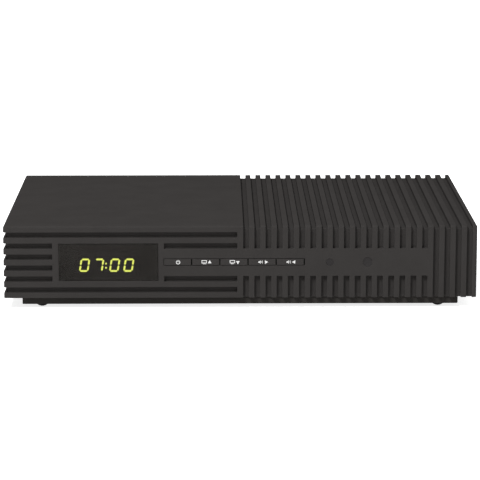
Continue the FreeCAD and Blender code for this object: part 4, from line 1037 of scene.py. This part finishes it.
@dataclass
class AerialBarrels:
    """The two aerial sockets: a neck, a barrel with a rolled thread, and a bore."""

    level: float = 18.9
    places: tuple[tuple[str, float, str], ...] = (
        ("lnb_input_socket", 94.0, "dish_barrel"), ("loop_output_socket", 74.0, "loop_barrel"))
    root: float = 72.85
    neck_end: float = 76.55
    tip: float = 84.65
    neck: float = 4.96
    core: float = 4.42
    crest: float = 4.75
    chamfer: float = 0.5
    bore: float = 2.5
    bore_depth: float = 6.0
    pitch: float = 0.794
    turns: int = 8

    def barrel(self) -> Thing:
        """The barrel without its thread, about the line x = 0.

        Returns:
            The barrel's object.
        """
        bpy.ops.mesh.primitive_circle_add(vertices=48, radius=self.neck * MM, fill_type="NGON",
                                          location=(0, self.root * MM, self.level * MM),
                                          rotation=(-math.pi / 2, 0, 0))
        piece = bpy.context.object
        settle(piece)
        steps = ((self.neck_end, self.neck), (self.neck_end, self.core), (self.tip - self.chamfer, self.core),
                 (self.tip, self.core - self.chamfer), (self.tip, self.bore),
                 (self.tip - self.bore_depth, self.bore))
        with edit(piece, True):
            y, radius = self.root, self.neck
            for next_y, next_radius in steps:
                push((0, next_y - y, 0))
                share = next_radius / radius
                bpy.ops.transform.resize(value=(share, 1, share),
                                         center_override=(0, next_y * MM, self.level * MM))
                y, radius = next_y, next_radius
        close_up(piece)
        return piece

    def thread(self) -> Thing:
        """The ridge that winds round the barrel.

        Returns:
            The ridge's object.
        """
        depth = self.crest - self.core
        start = self.neck_end + 0.5 * self.pitch
        bpy.ops.mesh.primitive_circle_add(vertices=3, radius=depth * 0.8 * MM, fill_type="NOTHING",
                                          location=(0, 0, (self.crest - 0.8 * depth) * MM),
                                          rotation=(math.pi / 2, 0, math.pi / 2))
        ridge = bpy.context.object
        settle(ridge)
        apply(ridge, "SCREW", axis="Y", angle=math.tau, screw_offset=self.pitch * MM, iterations=self.turns,
              steps=36, render_steps=36, use_merge_vertices=False)
        with edit(ridge):
            bpy.ops.mesh.select_mode(type="EDGE")
            bpy.ops.mesh.select_non_manifold()
            bpy.ops.mesh.edge_face_add()
        ridge.location = (0, start * MM, self.level * MM)
        settle(ridge)
        close_up(ridge)
        return ridge

    def build(self) -> None:
        """Builds one threaded barrel and copies it to both places."""
        barrel, ridge = self.barrel(), self.thread()
        only(barrel, ridge)
        bpy.ops.object.join()
        smooth(barrel)
        for node, x, name in self.places:
            piece = copied(barrel.data, name)
            piece.location.x = x * MM
            settle(piece)
            fit(piece, NICKEL, Body.RECEIVER, [node])
        bpy.data.objects.remove(barrel)


@dataclass
class CaseScrews:
    """The eight cross-head screws that hold the case together, four below and four behind."""

    head: float = 2.7
    head_height: float = 1.8
    shank: float = 1.4
    dome: float = 0.8
    point: float = 1.0
    point_share: float = 0.45
    slot: Spot = (3.1, 0.62, 2.0)
    slot_foot: Spot = (0.45, 0.8, 0.45)
    below: tuple[Spot, ...] = tuple((x, y, 4.8) for x in (-113.0, 113.0) for y in (-59.35, 50.65))
    behind: tuple[Spot, ...] = tuple((x, 74.15, z) for x in (-119.0, 119.0) for z in (12.8, 37.7))
    below_length: float = 9.95
    behind_length: float = 7.0

    def screw(self, length: float) -> Thing:
        """One screw that stands on its point, with its head's seat at the origin.

        Args:
            length: The length under the head.

        Returns:
            The screw's object.
        """
        bpy.ops.mesh.primitive_cylinder_add(vertices=32, radius=self.head * MM, depth=self.head_height * MM,
                                            location=(0, 0, self.head_height / 2 * MM))
        screw = bpy.context.object
        settle(screw)
        with edit(screw):
            pick_faces(screw, lambda face: face.calc_center_median().z > 0.99 * self.head_height * MM)
            bpy.ops.mesh.bevel(offset=self.dome * MM, segments=4)
            pick_faces(screw, lambda face: face.calc_center_median().z < 0.01 * MM)
            bpy.ops.mesh.inset(thickness=(self.head - self.shank) * MM)
            push((0, 0, self.point - length))
            push((0, 0, -self.point))
            bpy.ops.transform.resize(value=(self.point_share, self.point_share, 1))
        for turn in (0, math.pi / 2):
            bpy.ops.mesh.primitive_cube_add(size=MM, location=(0, 0, self.head_height * MM),
                                            rotation=(0, 0, turn))
            slot = bpy.context.object
            slot.scale = self.slot
            settle(slot)
            with edit(slot):
                pick_faces(slot, lambda face: face.normal.z < -0.5)
                bpy.ops.transform.resize(value=self.slot_foot)
            apply(screw, "BOOLEAN", operation="DIFFERENCE", solver="EXACT", object=slot)
            bpy.data.objects.remove(slot)
        close_up(screw)
        return screw

    def build(self) -> None:
        """Makes one screw of each length and copies it to its places."""
        made = []
        for spots, length, turn in ((self.below, self.below_length, math.pi),
                                    (self.behind, self.behind_length, -math.pi / 2)):
            first = self.screw(length)
            for index, spot in enumerate(spots):
                piece = copied(first.data, "case_screw")
                piece.rotation_euler = (turn, 0.5 * index, 0) if turn < 0 else (turn, 0, 0.7 * index)
                piece.location = [value * MM for value in spot]
                settle(piece)
                made.append(piece)
            bpy.data.objects.remove(first)
        only(*made)
        bpy.ops.object.join()
        screws = bpy.context.object
        screws.name = "cross_head_screws"
        smooth(screws)
        fit(screws, SCREW, Body.RECEIVER, ["case_screws"])


@dataclass
class RearSockets:
    """What comes through the rear panel."""

    metal_edge: float = 0.08
    collar_edge: float = 0.15
    frame_edge: float = 0.2
    rocker_edge: float = 0.25

    def build(self) -> None:
        """Builds the sockets with softened edges."""
        AerialBarrels().build()
        for node, name in (("coax_nuts", "hexagon_nuts"), ("serial_socket_shell", "serial_shell"),
                           ("serial_lock_posts", "lock_posts"), ("phono_sleeves", "plated_sleeves")):
            SoftenedPiece(node, NICKEL, name, self.metal_edge).build()
        for node, colour in (("video_socket", "socket_yellow"), ("audio_left_socket", "socket_white"),
                             ("audio_right_socket", "socket_red"), ("digital_audio_socket", "socket_orange")):
            SoftenedPiece(node, FINISHES[colour], node.replace("socket", "collar"),
                          self.collar_edge).build()
        SoftenedPiece("mains_inlet", INLET, "inlet_frame", self.frame_edge).build()
        SoftenedPiece("switch_housing", SWITCH, "switch_frame", self.frame_edge).build()
        SoftenedPiece("switch_rocker", ROCKER, "rocker_paddle", self.rocker_edge, Body.ROCKER).build()
        RockerMarks().build()


@dataclass
class RockerMarks:
    """The line and the ring that are printed on the two halves of the rocker."""

    pivot: Spot = (-62.0, 74.15, 25.5)
    tilt: float = 12.0
    valley: float = 2.2
    rise: float = 0.13
    middle: float = 4.3
    ink: float = 0.06
    stroke: float = 0.45
    line: float = 2.4
    ring: float = 1.25
    sunk: float = 0.02

    def build(self) -> None:
        """Draws both marks flat, gives them their thickness and tilts them with the rocker."""
        turn = math.atan(self.rise)
        place = (0, (self.valley + self.middle * self.rise - self.sunk) * MM, self.middle * MM)
        bpy.ops.mesh.primitive_plane_add(size=MM, location=place, rotation=(-math.pi / 2 - turn, 0, 0))
        line = bpy.context.object
        line.scale = (self.stroke, self.line, 1)
        settle(line)
        place = (0, place[1], -place[2])
        bpy.ops.mesh.primitive_circle_add(vertices=32, radius=self.ring * MM, fill_type="NGON",
                                          location=place, rotation=(-math.pi / 2 + turn, 0, 0))
        ring = bpy.context.object
        settle(ring)
        with edit(ring, True):
            bpy.ops.mesh.inset(thickness=self.stroke * MM)
            bpy.ops.mesh.delete(type="FACE")
        only(line, ring)
        bpy.ops.object.join()
        marks = bpy.context.object
        marks.name = "rocker_marks"
        with edit(marks, True):
            push((0, self.ink, 0))
        marks.rotation_euler = (math.radians(self.tilt), 0, 0)
        marks.location = [value * MM for value in self.pivot]
        settle(marks)
        close_up(marks)
        fit(marks, INK, Body.ROCKER)


# ---------------------------------------------------------------- what is carried over


def dress_carried_nodes() -> None:
    """Gives every CAD node that is still shown the finish of its slot."""
    for name, node in sorted(frame["nodes"].items()):
        if node.hide_render:
            continue
        for socket in node.material_slots:
            socket.material = FINISHES[socket.material.name].material()
        WORDS.info("%s: carried over", name)


# ---------------------------------------------------------------- studio


@dataclass
class Studio:
    """A pale floor, a plain white surround, soft lamps and the photograph's camera."""

    surround: float = 0.42
    floor_glow: float = 0.8
    eye: Spot = (-13.32, -1336.85, 295.86)
    down: float = 11.60
    right: float = 0.60
    focal: float = 175.09

    def seen_directly(self, tree: bpy.types.NodeTree) -> Socket:
        """Whether a ray comes from the camera, from gloss or from a clear piece.

        Args:
            tree: The node tree that asks.

        Returns:
            1 for such a ray and 0 for any other.
        """
        path = tree.nodes.new("ShaderNodeLightPath")
        answer = path.outputs["Is Camera Ray"]
        for name in ("Is Glossy Ray", "Is Transmission Ray"):
            either = tree.nodes.new("ShaderNodeMath")
            either.operation = "MAXIMUM"
            tree.links.new(answer, either.inputs[0])
            tree.links.new(path.outputs[name], either.inputs[1])
            answer = either.outputs[0]
        return answer

    def build_world(self) -> None:
        """White where it is seen, and dimmer where it lights the object."""
        world = bpy.data.worlds.new("surround")
        bpy.context.scene.world = world
        world.use_nodes = True
        tree = world.node_tree
        light = tree.nodes["Background"]
        light.inputs["Color"].default_value = (1, 1, 1, 1)
        light.inputs["Strength"].default_value = self.surround
        white = tree.nodes.new("ShaderNodeBackground")
        white.inputs["Strength"].default_value = 1.0
        white.inputs["Color"].default_value = (1, 1, 1, 1)
        mixed = tree.nodes.new("ShaderNodeMixShader")
        tree.links.new(self.seen_directly(tree), mixed.inputs[0])
        tree.links.new(light.outputs[0], mixed.inputs[1])
        tree.links.new(white.outputs[0], mixed.inputs[2])
        tree.links.new(mixed.outputs[0], tree.nodes["World Output"].inputs["Surface"])

    def build_floor(self) -> None:
        """A wide pale floor that reads white and keeps the object's shadow."""
        bpy.ops.mesh.primitive_plane_add(size=12, location=(0, 0, 0))
        floor = bpy.context.object
        floor.name = "studio_floor"
        graph = Graph("floor_paper")
        paper = graph.mix(graph.range(graph.noise(40.0)), (242, 242, 242), (247, 247, 247))
        graph.give(Base_Color=paper,
                   Roughness=graph.range(graph.noise(3.0), 0.88, 0.96),
                   Normal=graph.relief(graph.noise(1.0), 0.02),
                   Specular_IOR_Level=0.0)
        tree = graph.tree
        white = tree.nodes.new("ShaderNodeEmission")
        both = tree.nodes.new("ShaderNodeAddShader")
        glow = tree.nodes.new("ShaderNodeMath")
        glow.operation = "MULTIPLY"
        glow.inputs[1].default_value = self.floor_glow
        tree.links.new(self.seen_directly(tree), glow.inputs[0])
        tree.links.new(glow.outputs[0], white.inputs["Strength"])
        tree.links.new(graph.shader.outputs[0], both.inputs[0])
        tree.links.new(white.outputs[0], both.inputs[1])
        tree.links.new(both.outputs[0], tree.nodes["Material Output"].inputs["Surface"])
        floor.data.materials.append(graph.material)

    def lamp(self, name: str, at: Spot, size: float, power: float) -> None:
        """Adds a soft square lamp that looks at the object.

        Args:
            name: The lamp's name.
            at: Where it hangs, in metres.
            size: The side of its square, in metres.
            power: Its power in watts.
        """
        light = bpy.data.lights.new(name, "AREA")
        light.size, light.energy = size, power
        hung = bpy.data.objects.new(name, light)
        hung.visible_glossy = False
        hung.location = at
        hung.rotation_euler = (Vector((0, 0, 0.02)) - Vector(at)).to_track_quat("-Z", "Y").to_euler()
        bpy.context.scene.collection.objects.link(hung)

    def build_camera(self) -> None:
        """The camera that was fitted to the photograph's corners."""
        lens = bpy.data.cameras.new("photo_camera")
        lens.lens, lens.sensor_width = self.focal, 36.0
        lens.clip_start, lens.clip_end = 0.01, 100.0
        camera = bpy.data.objects.new("photo_camera", lens)
        camera.location = [value * MM for value in self.eye]
        camera.rotation_euler = (math.radians(90 - self.down), 0, math.radians(-self.right))
        bpy.context.scene.collection.objects.link(camera)
        bpy.context.scene.camera = camera

    def build(self) -> None:
        """Builds the surround, the floor, the two lamps and the camera."""
        bpy.context.scene.view_settings.view_transform = "Standard"
        self.build_world()
        self.build_floor()
        self.lamp("key_lamp", (-0.71, -1.23, 1.81), 0.5, 43.0)
        self.lamp("rear_lamp", (0.9, 1.9, 0.5), 1.2, 16.0)
        self.build_camera()


def main() -> None:
    """Builds each sub-assembly in order, then the studio."""
    logging.basicConfig(level=logging.INFO, format="%(name)s %(message)s")
    for assembly in (Case(), CaseScrews(), Clock(), KeyRow(), FrontPane(), RearSockets()):
        WORDS.info("building %s", type(assembly).__name__)
        assembly.build()
    dress_carried_nodes()
    Studio().build()


if __name__ == "__main__":
    main()
